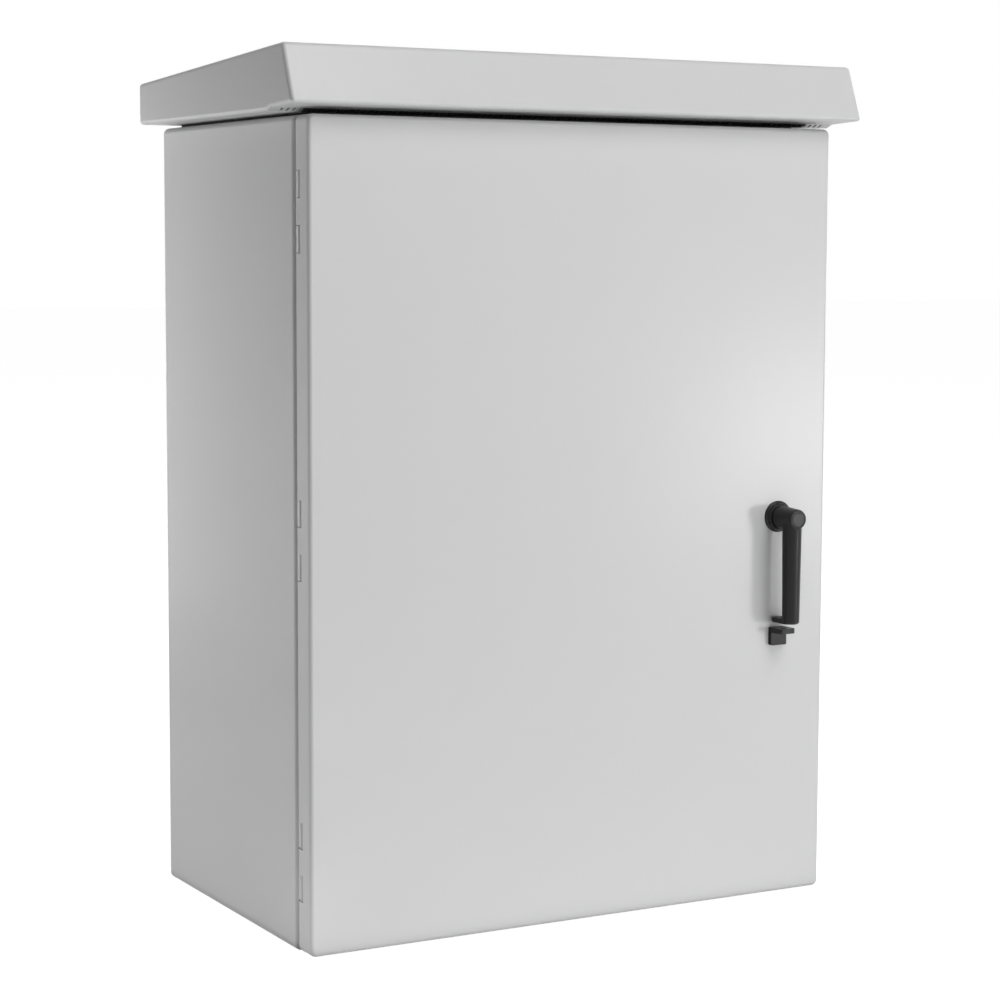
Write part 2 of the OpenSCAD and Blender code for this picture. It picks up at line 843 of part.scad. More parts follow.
// Round connectors: a flange, a barrel and its socket
module controller_connectors() {
  z = upper_shelf_z + connector_rise;
  mouth_y = unit_front_y - connector_barrel;
  seat_y = unit_front_y - flange_t;
  color(zinc) for (k = [0 : connector_count - 1]) {
    x = controller_left + connector_side + k * connector_pitch;
    r = connector_r + (k - 1) * connector_step;
    difference() {
      union() {
        rod_along_y(x, z, mouth_y, unit_front_y, r);
        rod_along_y(x, z, seat_y, unit_front_y, r + flange_lap);
      }
      rod_along_y(x, z, mouth_y - cut, seat_y - cut, r - shell_t);
    }
  }
}

module monitor_case() {
  color(unit_grey) unit_case(monitor_x, monitor_w, monitor_d, controller_h, upper_shelf_z);
}

// The conflict monitor's face: three columns of lamps and a reset button
module monitor_face() {
  lamp_r = 2.5;
  lamp_out = 1.5;
  lamp_pitch = 12;
  lamp_side = 20;
  lamp_rows = 12;
  lamp_top = 44;
  button_r = 8;
  button_out = 6;
  button_side = 38;
  lamp_low = controller_top - lamp_top - (lamp_rows - 1) * lamp_pitch;
  color(dark_plastic) {
    block([monitor_x - monitor_w / 2, unit_front_y, upper_shelf_z],
          [monitor_x + monitor_w / 2, unit_front_y + face_t, controller_top]);
    for (column = [-1, 0, 1], row = [0 : lamp_rows - 1]) {
      rod_along_y(monitor_x - lamp_side + column * lamp_pitch, lamp_low + row * lamp_pitch,
                  unit_front_y - lamp_out, unit_front_y + cut, lamp_r);
    }
    rod_along_y(monitor_x + button_side, lamp_low, unit_front_y - button_out, unit_front_y + cut, button_r);
  }
}

rack_t = 2;

module detector_rack() {
  low = lower_shelf_z;
  vent_w = 0.4 * card_pitch;
  vent_end = 30;
  color(aluminium_plain) difference() {
    block([rack_x - rack_w / 2, unit_front_y, low],
          [rack_x + rack_w / 2, unit_front_y + rack_d, low + rack_h]);
    block([rack_x - rack_w / 2 + rack_t, unit_front_y - cut, low + rack_t],
          [rack_x + rack_w / 2 - rack_t, unit_front_y + rack_d - rack_t, low + rack_h - rack_t]);
    for (k = [0 : card_count - 1], end = [0, 1]) {
      x = card_x(k);
      z = low + end * (rack_h - rack_t);
      block([x - vent_w / 2, unit_front_y + vent_end, z - cut],
            [x + vent_w / 2, unit_front_y + rack_d - vent_end, z + rack_t + cut]);
    }
  }
}

// Plug-in cards: a front plate, a board behind it and a pull
module detector_cards() {
  face_gap = 1.5;
  board_t = 2;
  board_end = 20;
  pull_half = 4;
  pull_out = 18;
  pull_bar = 6;
  pull_rise = 24;
  pull_h = 50;
  low = lower_shelf_z + rack_t;
  high = lower_shelf_z + rack_h - rack_t;
  color(dark_plastic) for (k = [0 : card_count - 1]) {
    x = card_x(k);
    block([x - card_pitch / 2 + face_gap, unit_front_y, low],
          [x + card_pitch / 2 - face_gap, unit_front_y + board_t, high]);
    block([x - board_t / 2, unit_front_y + board_t, low],
          [x + board_t / 2, unit_front_y + rack_d - board_end, high]);
    pull(x, unit_front_y, low + pull_rise, low + pull_rise + pull_h, pull_half, pull_out, pull_bar);
  }
}

module power_supply() {
  post_r = 7;
  post_out = 10;
  post_side = 22;
  post_rise = 40;
  post_pitch = 26;
  post_count = 4;
  left = supply_x - supply_w / 2;
  color(unit_grey) {
    unit_case(supply_x, supply_w, rack_d, rack_h, lower_shelf_z);
    block([left, unit_front_y, lower_shelf_z],
          [left + supply_w, unit_front_y + face_t, lower_shelf_z + rack_h]);
    for (row = [0 : post_count - 1]) {
      rod_along_y(left + post_side, lower_shelf_z + post_rise + row * post_pitch,
                  unit_front_y - post_out, unit_front_y, post_r);
    }
  }
}

function load_x(k) = bay_x + (k - (load_count - 1) / 2) * load_pitch;

module load_bay() {
  color(dark_plastic) difference() {
    block([bay_x - bay_w / 2, bay_y, load_z], [bay_x + bay_w / 2, panel_y, load_z + bay_h]);
    for (k = [0 : load_count - 1]) {
      block([load_x(k) - load_pitch / 2 + bay_rib, bay_y - cut, load_z + 2 * bay_rib],
            [load_x(k) + load_pitch / 2 - bay_rib, bay_y + socket_d, load_z + bay_h - 2 * bay_rib]);
    }
  }
}

// Plug-in load switches, each with a pull and three lamps on its face
module load_switches() {
  fit = 0.5;
  pull_half = 5;
  pull_out = 22;
  pull_bar = 7;
  lamp_r = 1.6;
  lamp_out = 1;
  lamp_pitch = 4;
  lamp_top = 10;
  w = load_pitch - 2 * bay_rib - 2 * fit;
  low = load_z + 2 * bay_rib + fit;
  high = load_z + bay_h - 2 * bay_rib - fit;
  back_y = bay_y + socket_d;
  front_y = back_y - load_d;
  color(aluminium_plain) for (k = [0 : load_count - 1]) {
    x = load_x(k);
    block([x - w / 2, front_y, low], [x + w / 2, back_y, high]);
    pull(x, front_y, low + (high - low) / 4, high - (high - low) / 4, pull_half, pull_out, pull_bar);
    for (row = [0 : 2]) {
      rod_along_y(x - w / 4, high - lamp_top - row * lamp_pitch, front_y - lamp_out, front_y + cut, lamp_r);
    }
  }
}

// A flasher with cooling fins
module flasher() {
  gap = 34;
  half = 26;
  depth = 96;
  fin_out = 4;
  fin_t = 6;
  fin_pitch = 18;
  fin_count = 5;
  low = load_z + 2 * bay_rib;
  high = load_z + bay_h - 2 * bay_rib;
  x = bay_x + bay_w / 2 + gap;
  color(unit_grey) {
    block([x - half, panel_y - depth, low], [x + half, panel_y, high]);
    for (row = [0 : fin_count - 1]) {
      y = panel_y - depth + fin_t + row * fin_pitch;
      block([x - half - fin_out, y, low], [x + half + fin_out, y + fin_t, high]);
    }
  }
}

// Two transfer relays on their bases
module transfer_relays() {
  gap = 84;
  pitch = 44;
  half = 18;
  depth = 62;
  base_half = 20;
  base_t = 12;
  base_low = 18;
  base_high = 16;
  cover_low = 30;
  cover_high = 28;
  color(pale_plastic) for (k = [0, 1]) {
    x = bay_x + bay_w / 2 + gap + k * pitch;
    block([x - half, panel_y - depth, load_z + cover_low],
          [x + half, panel_y - base_t, load_z + bay_h - cover_high]);
    block([x - base_half, panel_y - base_t, load_z + base_low],
          [x + base_half, panel_y, load_z + bay_h - base_high]);
  }
}

// Two barrier terminal strips with two screws to a pole
module field_terminals() {
  rib = 2.5;
  screw_r = 4;
  screw_edge = 10.8;
  floor_y = panel_y - strip_d / 2;
  color(dark_plastic) for (z = strip_z) {
    difference() {
      block([strip_x - strip_w / 2, panel_y - strip_d, z], [strip_x + strip_w / 2, panel_y, z + strip_h]);
      for (k = [0 : pole_count - 1]) {
        x = strip_x + (k - (pole_count - 1) / 2) * pole_pitch;
        block([x - pole_pitch / 2 + rib / 2, panel_y - strip_d - cut, z - cut],
              [x + pole_pitch / 2 - rib / 2, floor_y, z + strip_h + cut]);
      }
    }
    for (k = [0 : pole_count - 1], screw_z = [z + screw_edge, z + strip_h - screw_edge]) {
      x = strip_x + (k - (pole_count - 1) / 2) * pole_pitch;
      rod_along_y(x, screw_z, floor_y - screw_r, floor_y + cut, screw_r);
    }
  }
}

module power_panel() {
  color(aluminium_plain) block([power_x, rail_front_y - rail_w / 2, power_low],
                               [rail_x, rail_rear_y + rail_w / 2, power_high]);
}

module breaker_bodies() {
  color(dark_plastic) for (y = breaker_y) {
    difference() {
      block([breaker_face_x, y - breaker_w / 2, breaker_z - breaker_h / 2],
            [power_x, y + breaker_w / 2, breaker_z + breaker_h / 2]);
      intersection() {
        block([breaker_face_x - cut, y - toggle_slot_w / 2, breaker_z - toggle_slot_h / 2],
              [breaker_face_x + 2 * toggle_r, y + toggle_slot_w / 2, breaker_z + toggle_slot_h / 2]);
        translate([breaker_face_x + toggle_r / 2, y - breaker_w, breaker_z]) rotate([-90, 0, 0]) {
          cylinder(r = toggle_slot_h / 2, h = 2 * breaker_w);
        }
      }
    }
    translate([breaker_face_x + toggle_r / 2, y - toggle_slot_w / 2 - cut, breaker_z]) rotate([-90, 0, 0]) {
      cylinder(r = axle_r, h = toggle_slot_w + 2 * cut);
    }
  }
}

// A breaker's toggle: a hub on the breaker's cross pin with a tapered lever, tilted to its upper stop
module breaker_toggle(k) {
  w = toggle_slot_w - 2 * toggle_room;
  lever = 20;
  root = 0.7 * toggle_r;
  translate([breaker_face_x + toggle_r / 2, breaker_y[k] - w / 2, breaker_z]) rotate([-90, 0, 0]) {
    difference() {
      union() {
        cylinder(r = toggle_r, h = w);
        rotate([0, 0, toggle_tilt]) linear_extrude(w) {
          polygon([[-root, -root / 2], [-lever, -root / 3], [-lever, root / 3], [-root, root / 2]]);
        }
      }
      translate([0, 0, -cut]) cylinder(r = axle_r + run_fit, h = w + 2 * cut);
    }
  }
}

module breaker_toggle_1() {
  color(pale_plastic) breaker_toggle(0);
}

module breaker_toggle_2() {
  color(pale_plastic) breaker_toggle(1);
}

module breaker_toggle_3() {
  color(pale_plastic) breaker_toggle(2);
}

module surge_arrester() {
  setback = 60;
  rise = 90;
  half_y = 48;
  half_z = 42;
  depth = 46;
  lens_r = 6;
  lens_out = 10;
  lens_y = 30;
  lens_z = 24;
  y = rail_front_y + setback;
  z = power_low + rise;
  color(dark_plastic) {
    block([power_x - depth, y - half_y, z - half_z], [power_x, y + half_y, z + half_z]);
    for (side = [-1, 1]) {
      rod_along_x(y + side * lens_y, z + lens_z, power_x - depth - lens_out, power_x - depth, lens_r);
    }
  }
}

// Neutral and earth bars on feet, with a row of screws
module bus_bars() {
  bar_w = 14;
  bar_d = 8;
  bar_inset = 20;
  bar_spacing = 36;
  bar_low = 40;
  bar_high = 60;
  screw_r = 3.2;
  screw_count = 12;
  screw_end = 22;
  foot = 10;
  foot_h = 16;
  low = power_low + bar_low;
  high = power_high - bar_high;
  screw_pitch = (high - low - 2 * screw_end) / (screw_count - 1);
  color(copper) for (y = [rail_rear_y - bar_inset, rail_rear_y - bar_inset - bar_spacing]) {
    block([power_x - foot - bar_d, y - bar_w / 2, low], [power_x - foot, y + bar_w / 2, high]);
    for (z = [low, high - foot_h]) {
      block([power_x - foot, y - bar_w / 2, z], [power_x, y + bar_w / 2, z + foot_h]);
    }
    for (k = [0 : screw_count - 1]) {
      rod_along_x(y, low + screw_end + k * screw_pitch,
                  power_x - foot - bar_d - screw_r, power_x - foot - bar_d + cut, screw_r);
    }
  }
}

// The fan's square frame with its flanges, its spokes and the motor's axle
module fan_frame() {
  low = roof_z - fan_d;
  corner_r = 6;
  flange_t = 5;
  duct_t = 2;
  boss_r = 13;
  spoke_w = 8;
  spoke_t = 4;
  axle_rise = 8;
  motor_r = fan_hub_r - 3;
  color(dark_plastic) translate([0, fan_y, 0]) {
    difference() {
      translate([0, 0, low]) linear_extrude(fan_d) rounded_rect(fan_w, fan_w, corner_r);
      translate([0, 0, low - cut]) cylinder(r = fan_bore_r, h = fan_d + 2 * cut);
      translate([0, 0, low + flange_t]) linear_extrude(fan_d - 2 * flange_t) difference() {
        square(fan_w + cut, center = true);
        circle(fan_bore_r + duct_t);
        for (turn = [0 : 90 : 270]) rotate(turn + 45) translate([0.64 * fan_w, 0]) circle(boss_r);
      }
    }
    translate([0, 0, roof_z - spoke_t]) {
      cylinder(r = motor_r, h = spoke_t);
      for (turn = [0 : 90 : 270]) rotate(turn + 45) {
        translate([0, -spoke_w / 2, 0]) cube([fan_bore_r + cut, spoke_w, spoke_t]);
      }
    }
    translate([0, 0, low + axle_rise]) cylinder(r = axle_r, h = fan_d - axle_rise - spoke_t + cut);
  }
}

module fan_guard() {
  t = 2;
  ring = 3;
  ring_pitch = 14;
  low = roof_z - fan_d - t;
  ears = 0.435 * fan_w;
  color(zinc) translate([0, fan_y, low]) linear_extrude(t) {
    for (k = [0 : 2]) difference() {
      circle(fan_bore_r - ring - k * ring_pitch);
      circle(fan_bore_r - 2 * ring - k * ring_pitch);
    }
    circle(fan_hub_r - ring);
    for (turn = [45, 135]) rotate(turn) square([2 * ears * sqrt(2), ring], center = true);
    for (sx = [-1, 1], sy = [-1, 1]) translate([sx * ears, sy * ears]) circle(2 * ring);
  }
}

module fan_impeller() {
  hub_rise = 6;
  blade_h = fan_d - 3 * hub_rise;
  blade_t = 2;
  tip_room = 2.5;
  pitch_angle = 40;
  color(dark_plastic) translate([0, fan_y, roof_z - fan_d + hub_rise]) difference() {
    union() {
      cylinder(r = fan_hub_r, h = blade_h);
      intersection() {
        cylinder(r = fan_bore_r - tip_room, h = blade_h);
        for (k = [0 : blade_count - 1]) rotate(k * 360 / blade_count) rotate([pitch_angle, 0, 0]) {
          translate([fan_hub_r - blade_t, -blade_h, -blade_t / 2]) cube([fan_bore_r, 3 * blade_h, blade_t]);
        }
      }
    }
    translate([0, 0, -cut]) cylinder(r = axle_r + run_fit, h = blade_h + 2 * cut);
  }
}

// The dial's shaft and the pointer groove in its face
dial_shaft_r = 3;
dial_skirt = 3;
dial_skirt_t = 4;
pointer_half = 1;

module fan_control() {
  face_x = inside_x - control_d;
  low = control_z - control_h / 2;
  vent_depth = 3;
  vent_h = 2.5;
  vent_pitch = 6;
  vent_rise = 12;
  vent_edge = 10;
  vent_count = 5;
  color(pale_plastic) {
    difference() {
      block([face_x, control_y - control_w / 2, low], [inside_x, control_y + control_w / 2, low + control_h]);
      for (k = [0 : vent_count - 1]) translate([face_x, control_y, low + vent_rise + k * vent_pitch]) {
        cube([2 * vent_depth, control_w - 2 * vent_edge, vent_h], center = true);
      }
    }
    rod_along_x(control_y, control_z + dial_rise, face_x - dial_t + dial_face, face_x + cut, dial_shaft_r);
  }
}

module control_dial() {
  face_x = inside_x - control_d;
  z = control_z + dial_rise;
  color(dark_plastic) difference() {
    union() {
      rod_along_x(control_y, z, face_x - dial_t, face_x - gasket_room, dial_r);
      rod_along_x(control_y, z, face_x - dial_skirt_t, face_x - gasket_room, dial_r + dial_skirt);
    }
    rod_along_x(control_y, z, face_x - dial_t + dial_face - dial_room, face_x + cut, dial_shaft_r + run_fit);
    block([face_x - dial_t - cut, control_y - pointer_half, z + dial_r / 3],
          [face_x - dial_t + cut, control_y + pointer_half, z + 2 * dial_r]);
  }
}

// A strip light under the roof, behind the door's upper edge
module cabinet_light() {
  length = 0.62 * floor_w;
  setback = 30;
  base_half = 18;
  base_h = 14;
  tube_r = 11;
  tube_end = 12;
  y = rail_front_y - setback;
  color(pale_plastic) {
    block([-length / 2, y - base_half, roof_z - base_h], [length / 2, y + base_half, roof_z]);
    translate([-length / 2 + tube_end, y, roof_z - base_h]) rotate([0, 90, 0]) {
      cylinder(r = tube_r, h = length - 2 * tube_end);
    }
  }
}

// A plate over the cable opening in the floor, with ring grooves for three knockouts
module gland_plate() {
  side_r = 24;
  middle_r = 32;
  knock_w = 3;
  knock_depth = 1;
  knock_pitch = 0.3 * gland_w;
  color(aluminium_plain) difference() {
    translate([gland_x, gland_y, wall]) linear_extrude(gland_t) {
      rounded_rect(gland_w + 2 * gland_lap, gland_d + 2 * gland_lap, edge_r);
    }
    for (k = [-1 : 1]) {
      r = k == 0 ? middle_r : side_r;
      translate([gland_x + k * knock_pitch, gland_y, wall + gland_t - knock_depth]) difference() {
        cylinder(r = r, h = knock_depth + cut);
        translate([0, 0, -cut]) cylinder(r = r - knock_w, h = knock_depth + 3 * cut);
      }
    }
  }
}

// A pleated filter pad over the intake slots in the floor
module air_filter() {
  w = intake_w + 2 * filter_lap;
  d = intake_d + 2 * filter_lap;
  corner_r = 6;
  pleat_count = 9;
  pleat_depth = 5;
  pleat_pitch = intake_w / pleat_count;
  color(filter_grey) translate([intake_x, intake_y, wall]) difference() {
    linear_extrude(filter_t) rounded_rect(w, d, corner_r);
    for (k = [0 : pleat_count - 1]) {
      translate([(k - (pleat_count - 1) / 2) * pleat_pitch, 0, filter_t]) {
        cube([pleat_pitch / 2, intake_d, 2 * pleat_depth], center = true);
      }
    }
  }
}

// The door pan's outer form, or its hollow when inset by the sheet thickness
module pan_form(inset, back_y) {
  w = body_w - 2 * inset;
  h = door_h - 2 * inset;
  depth = 2 * (door_depth - inset);
  front_y = door_face_y + inset;
  bend = door_bend_r - inset;
  translate([0, 0, door_rise + door_h / 2]) intersection() {
    translate([0, back_y, 0]) rotate([90, 0, 0]) {
      linear_extrude(back_y - front_y) rounded_rect(w, h, door_corner_r - inset);
    }
    translate([0, door_back_y, -h / 2]) linear_extrude(h) rounded_rect(w, depth, bend);
    translate([-w / 2, door_back_y, 0]) rotate([90, 0, 90]) linear_extrude(w) rounded_rect(depth, h, bend);
  }
}

module door_panel() {
  color(body_grey) difference() {
    pan_form(0, door_back_y);
    pan_form(door_t, door_back_y + cut);
    for (z = hinge_z, end = [-1, 1]) {
      low = z + end * knuckle_pitch / 2 - notch_h / 2;
      block([-half_w - cut, hinge_y - knuckle_r - notch_room, low],
            [-half_w + door_t + cut, door_back_y + cut, low + notch_h]);
    }
    rod_along_y(handle_x, handle_z, door_face_y - cut, door_in_y + cut, spindle_r + run_fit);
  }
}

module door_gasket() {
  w = open_w - collar_t + gasket_w;
  h = open_h - collar_t + gasket_w;
  color(rubber_black) frame_xz(w, h, gasket_w, open_r, door_in_y, collar_tip_y - gasket_room);
}

module door_stiffeners() {
  edge = 84;
  color(body_grey) for (side = [-1, 1]) difference() {
    block([side * stiffener_x - stiffener_w / 2, door_in_y, edge],
          [side * stiffener_x + stiffener_w / 2, door_in_y + stiffener_d, body_h - edge]);
    block([side * stiffener_x - stiffener_w / 2 + stiffener_t, door_in_y - cut, edge - cut],
          [side * stiffener_x + stiffener_w / 2 - stiffener_t, door_in_y + stiffener_d - stiffener_t,
           body_h - edge + cut]);
  }
}

// A dished ring on the door's face, with four short grooves across its slope
module handle_rosette() {
  rim_t = 2.5;
  rim_step = 0.6;
  neck_r = post_base_r + 1.5;
  dish = 1.5;
  dish_edge = 2;
  groove_half = 2.5;
  color(black_satin) translate([handle_x, door_face_y, handle_z]) rotate([90, 0, 0]) difference() {
    union() {
      cylinder(r = rosette_r, h = rim_t);
      translate([0, 0, rim_t]) cylinder(r1 = rosette_r - rim_step, r2 = neck_r, h = rosette_t - rim_t);
    }
    translate([0, 0, -cut]) cylinder(r = spindle_r + run_fit, h = rosette_t + 2 * cut);
    translate([0, 0, rosette_t - dish]) cylinder(r = neck_r - dish_edge, h = dish + cut);
    for (turn = [20 : 90 : 290]) rotate(turn) {
      translate([neck_r, -groove_half, rim_t + cut]) cube([rosette_r, 2 * groove_half, rosette_t]);
    }
  }
}

module hasp_bracket() {
  color(black_satin) difference() {
    union() {
      block([handle_x - tab_w / 2, door_face_y - hasp_t, hasp_top_z - hasp_h],
            [handle_x + tab_w / 2, door_face_y, hasp_top_z]);
      translate([0, 0, hasp_top_z - tab_t]) linear_extrude(tab_t) {
        translate([handle_x, door_face_y - hasp_tip / 2]) {
          rounded_rect(tab_w, hasp_tip, tab_r);
          translate([0, hasp_tip / 4]) square([tab_w, hasp_tip / 2], center = true);
        }
      }
    }
    translate([handle_x, padlock_y, hasp_top_z - tab_t - cut]) cylinder(r = padlock_r, h = tab_t + 2 * cut);
  }
}

// An angle bracket on the door with a slot that a latch rod slides through
module rod_guide(x, z) {
  back_y = rod_y + rod_t + guide_t + 1;
  difference() {
    union() {
      block([x - guide_w / 2, door_in_y, z - guide_t / 2], [x + guide_w / 2, back_y, z + guide_t / 2]);
      block([x - guide_w / 2, door_in_y, z - guide_t / 2],
            [x + guide_w / 2, door_in_y + guide_t, z + guide_foot]);
    }
    block([x - rod_w / 2 - guide_room, rod_y - guide_room, z - guide_t],
          [x + rod_w / 2 + guide_room, rod_y + rod_t + guide_room, z + guide_t]);
  }
}

module rod_guides() {
  color(zinc) {
    for (reach = [guide_near, mid_z - guide_end]) {
      rod_guide(handle_x + rod_offset, handle_z + reach);
      rod_guide(handle_x - rod_offset, handle_z - reach);
    }
  }
}

// Document pocket between the door's stiffeners
pocket_t = 2;
pocket_room = 4;
pocket_w = 2 * (stiffener_x - stiffener_w / 2 - pocket_room);
pocket_low = 150;
pocket_h = 190;
pocket_d = 28;
thumb_r = 34;

module document_pocket() {
  color(body_grey) difference() {
    block([-pocket_w / 2, door_in_y, pocket_low],
          [pocket_w / 2, door_in_y + pocket_d, pocket_low + pocket_h]);
    block([-pocket_w / 2 + pocket_t, door_in_y + pocket_t, pocket_low + pocket_t],
          [pocket_w / 2 - pocket_t, door_in_y + pocket_d - pocket_t, pocket_low + pocket_h + cut]);
    translate([0, door_in_y + pocket_d - pocket_t - cut, pocket_low + pocket_h]) {
      rotate([-90, 0, 0]) cylinder(r = thumb_r, h = pocket_t + 2 * cut);
    }
  }
}

// Post, grip, padlock tab and spindle of the handle, moulded as one
module handle() {
  tab_back_y = door_face_y - tab_room;
  tab_len = tab_back_y - grip_y + tab_r;
  color(black_satin) difference() {
    union() {
      translate([handle_x, post_base_y, handle_z]) rotate([90, 0, 0]) {
        cylinder(r1 = post_base_r, r2 = post_cap_r, h = post_base_y - handle_tip_y - cap_t);
      }
      translate([handle_x, grip_y, grip_foot_z]) rotate_extrude() {
        polygon([
          [0, 0],
          [grip_foot_r - grip_edge_r, 0],
          [grip_foot_r, grip_edge_r],
          [grip_top_r, grip_len],
          [0, grip_len]
        ]);
        intersection() {
          translate([grip_foot_r - grip_edge_r, grip_edge_r]) circle(grip_edge_r);
          square([grip_foot_r, grip_edge_r]);
        }
      }
      translate([handle_x, tab_back_y - tab_len / 2, grip_foot_z]) linear_extrude(tab_t) {
        rounded_rect(tab_w - 2 * tab_trim, tab_len, tab_r);
      }
      rod_along_y(handle_x, handle_z, post_base_y - cut, cam_y + cam_t, spindle_r);
    }
    translate([handle_x, padlock_y, grip_foot_z - cut]) cylinder(r = padlock_r, h = tab_t + 2 * cut);
  }
}

// The disc that closes the front of the post
module handle_cap() {
  color(black_satin) {
    rod_along_y(handle_x, handle_z, handle_tip_y, handle_tip_y + cap_t, post_cap_r - cap_step);
  }
}

module latch_cam() {
  pin_reach = rod_t + 2 * cut;
  cam_rim = 2;
  arm_root = (spindle_r + cam_hub_r) / 2;
  color(zinc) translate([handle_x, cam_y, handle_z]) rotate([-90, 0, 0]) difference() {
    union() {
      cylinder(r = cam_hub_r, h = cam_t);
      for (turn = [-45, 135]) rotate(turn) {
        translate([arm_root, -drive_pin_r, 0]) cube([cam_r - arm_root, 2 * drive_pin_r, cam_t]);
        translate([cam_r, 0, 0]) cylinder(r = drive_pin_r + cam_rim, h = cam_t);
        translate([cam_r, 0, -pin_reach]) cylinder(r = drive_pin_r, h = pin_reach + cut);
      }
    }
    translate([0, 0, -cut]) cylinder(r = spindle_r + run_fit, h = cam_t + 2 * cut);
  }
}

// A latch rod drawn for the upper side: a slotted head at the cam, a flat bar and a fork for the roller
module latch_rod() {
  bar_top = roller_reach - roller_r - fork_end;
  fork_w = roller_w + 2 * fork_room;
  difference() {
    union() {
      block([-rod_head_w / 2, rod_y, drive - rod_head_h / 2],
            [rod_head_w / 2, rod_y + rod_t, drive + rod_head_h / 2]);
      block([-rod_w / 2, rod_y, drive], [rod_w / 2, rod_y + rod_t, roller_reach + roller_pin_r + fork_end]);
    }
    block([-rod_slot_w / 2, rod_y - cut, drive - rod_slot_h / 2],
          [rod_slot_w / 2, rod_y + rod_t + cut, drive + rod_slot_h / 2]);
    block([-fork_w / 2, rod_y - cut, bar_top], [fork_w / 2, rod_y + rod_t + cut, roller_reach + roller_r]);
  }
  rod_along_x(rod_y + rod_t / 2, roller_reach, -rod_w / 2, rod_w / 2, roller_pin_r);
}

module latch_roller() {
  difference() {
    rod_along_x(rod_y + rod_t / 2, roller_reach, -roller_w / 2, roller_w / 2, roller_r);
    rod_along_x(rod_y + rod_t / 2, roller_reach, -roller_w, roller_w, roller_pin_r + run_fit);
  }
}

// Places a latch piece at the upper (1) or lower (-1) side of the handle
module at_latch(side) {
  translate([handle_x + side * rod_offset, 0, handle_z]) {
    if (side > 0) children();
    else mirror([0, 0, 1]) children();
  }
}

module upper_rod() {
  color(zinc) at_latch(1) latch_rod();
}

module lower_rod() {
  color(zinc) at_latch(-1) latch_rod();
}

module upper_roller() {
  color(pale_plastic) at_latch(1) latch_roller();
}

module lower_roller() {
  color(pale_plastic) at_latch(-1) latch_roller();
}

cabinet_shell();
door_collar();
rain_hood();
hood_vent_plate();
hood_spacer();
hood_bolts();
hinge_body_knuckles();
hinge_pins();
equipment_rails();
upper_shelf();
lower_shelf();
back_panel();
panel_standoffs();
controller_case();
controller_face();
controller_display();
controller_keypad();
controller_connectors();
monitor_case();
monitor_face();
detector_rack();
detector_cards();
power_supply();
load_bay();
load_switches();
flasher();
transfer_relays();
field_terminals();
power_panel();
breaker_bodies();
surge_arrester();
bus_bars();
fan_frame();
fan_guard();
fan_control();
cabinet_light();
gland_plate();
air_filter();
breaker_toggle_1();
breaker_toggle_2();
breaker_toggle_3();
fan_impeller();
control_dial();
door_panel();
door_gasket();
door_stiffeners();
hinge_door_knuckles();
handle_rosette();
hasp_bracket();
rod_guides();
document_pocket();
handle();
handle_cap();
latch_cam();
upper_rod();
lower_rod();
upper_roller();
lower_roller();
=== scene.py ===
"""Traffic signal controller cabinet: the finished look on the shared frame.

The sheet pieces that stand outside are folded again with soft bends, the moulded handle gets its
blended form, the equipment behind the door gets eased edges and small fittings, and every piece
gets a procedural finish.
"""

import json
import logging
from collections.abc import Callable, Iterable, Sequence
from dataclasses import dataclass
from enum import Enum
from math import cos, pi, radians, sin

import bmesh
import bpy
from mathutils import Matrix, Vector


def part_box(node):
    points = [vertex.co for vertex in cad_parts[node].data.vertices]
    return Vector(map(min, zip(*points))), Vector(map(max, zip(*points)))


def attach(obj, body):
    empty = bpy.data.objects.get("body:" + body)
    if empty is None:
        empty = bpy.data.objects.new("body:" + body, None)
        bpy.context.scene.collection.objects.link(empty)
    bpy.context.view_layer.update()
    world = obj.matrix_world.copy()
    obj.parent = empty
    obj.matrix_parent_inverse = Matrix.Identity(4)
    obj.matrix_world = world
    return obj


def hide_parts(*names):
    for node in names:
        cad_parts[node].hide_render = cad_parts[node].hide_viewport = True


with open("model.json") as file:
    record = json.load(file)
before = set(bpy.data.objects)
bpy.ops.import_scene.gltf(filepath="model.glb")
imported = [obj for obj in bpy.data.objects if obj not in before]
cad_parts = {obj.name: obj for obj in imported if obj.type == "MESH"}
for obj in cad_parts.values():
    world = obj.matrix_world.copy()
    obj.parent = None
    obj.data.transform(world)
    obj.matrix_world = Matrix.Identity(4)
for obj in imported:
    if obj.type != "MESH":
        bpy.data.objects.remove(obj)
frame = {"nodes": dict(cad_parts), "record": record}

LOG = logging.getLogger("signal_cabinet")

Colour = tuple[float, float, float]
Point = Sequence[float]

REPLACED: set[str] = set()

# How close to an axis an edge's direction has to be to run along it
STRAIGHT = 0.98

# The places of a Mix node's colour sockets, which share their names with its other sockets
MIX_FACTOR, MIX_FIRST, MIX_SECOND, MIX_RESULT = 0, 6, 7, 2


class Body(Enum):
    """The moving bodies that a piece can ride on."""

    CABINET = "cabinet"
    DOOR = "door"
    HANDLE = "handle"
    UPPER_ROD = "upper_rod"
    LOWER_ROD = "lower_rod"
    DIAL = "control_dial"


class Slot(Enum):
    """The record's material slots."""

    PAINT = "painted_sheet"
    BLACK = "black_handle"
    SEAL = "rubber_seal"
    ZINC = "zinc_steel"
    ALUMINIUM = "plain_aluminium"
    UNIT = "unit_paint"
    DARK = "dark_plastic"
    PALE = "pale_plastic"
    SCREEN = "display_glass"
    COPPER = "copper_bar"
    FILTER = "filter_pad"


class Pick(Enum):
    """What a selection in edit mode is made of."""

    VERTS = 0
    EDGES = 1
    FACES = 2


class Axis(Enum):
    """The frame's axes, by their place in a vector."""

    X = 0
    Y = 1
    Z = 2


# Modelling moves


def clear_selection() -> None:
    """Leaves edit mode and deselects everything, the solids of the frame included."""
    if bpy.context.mode != "OBJECT":
        bpy.ops.object.mode_set(mode="OBJECT")
    bpy.ops.object.select_all(action="DESELECT")


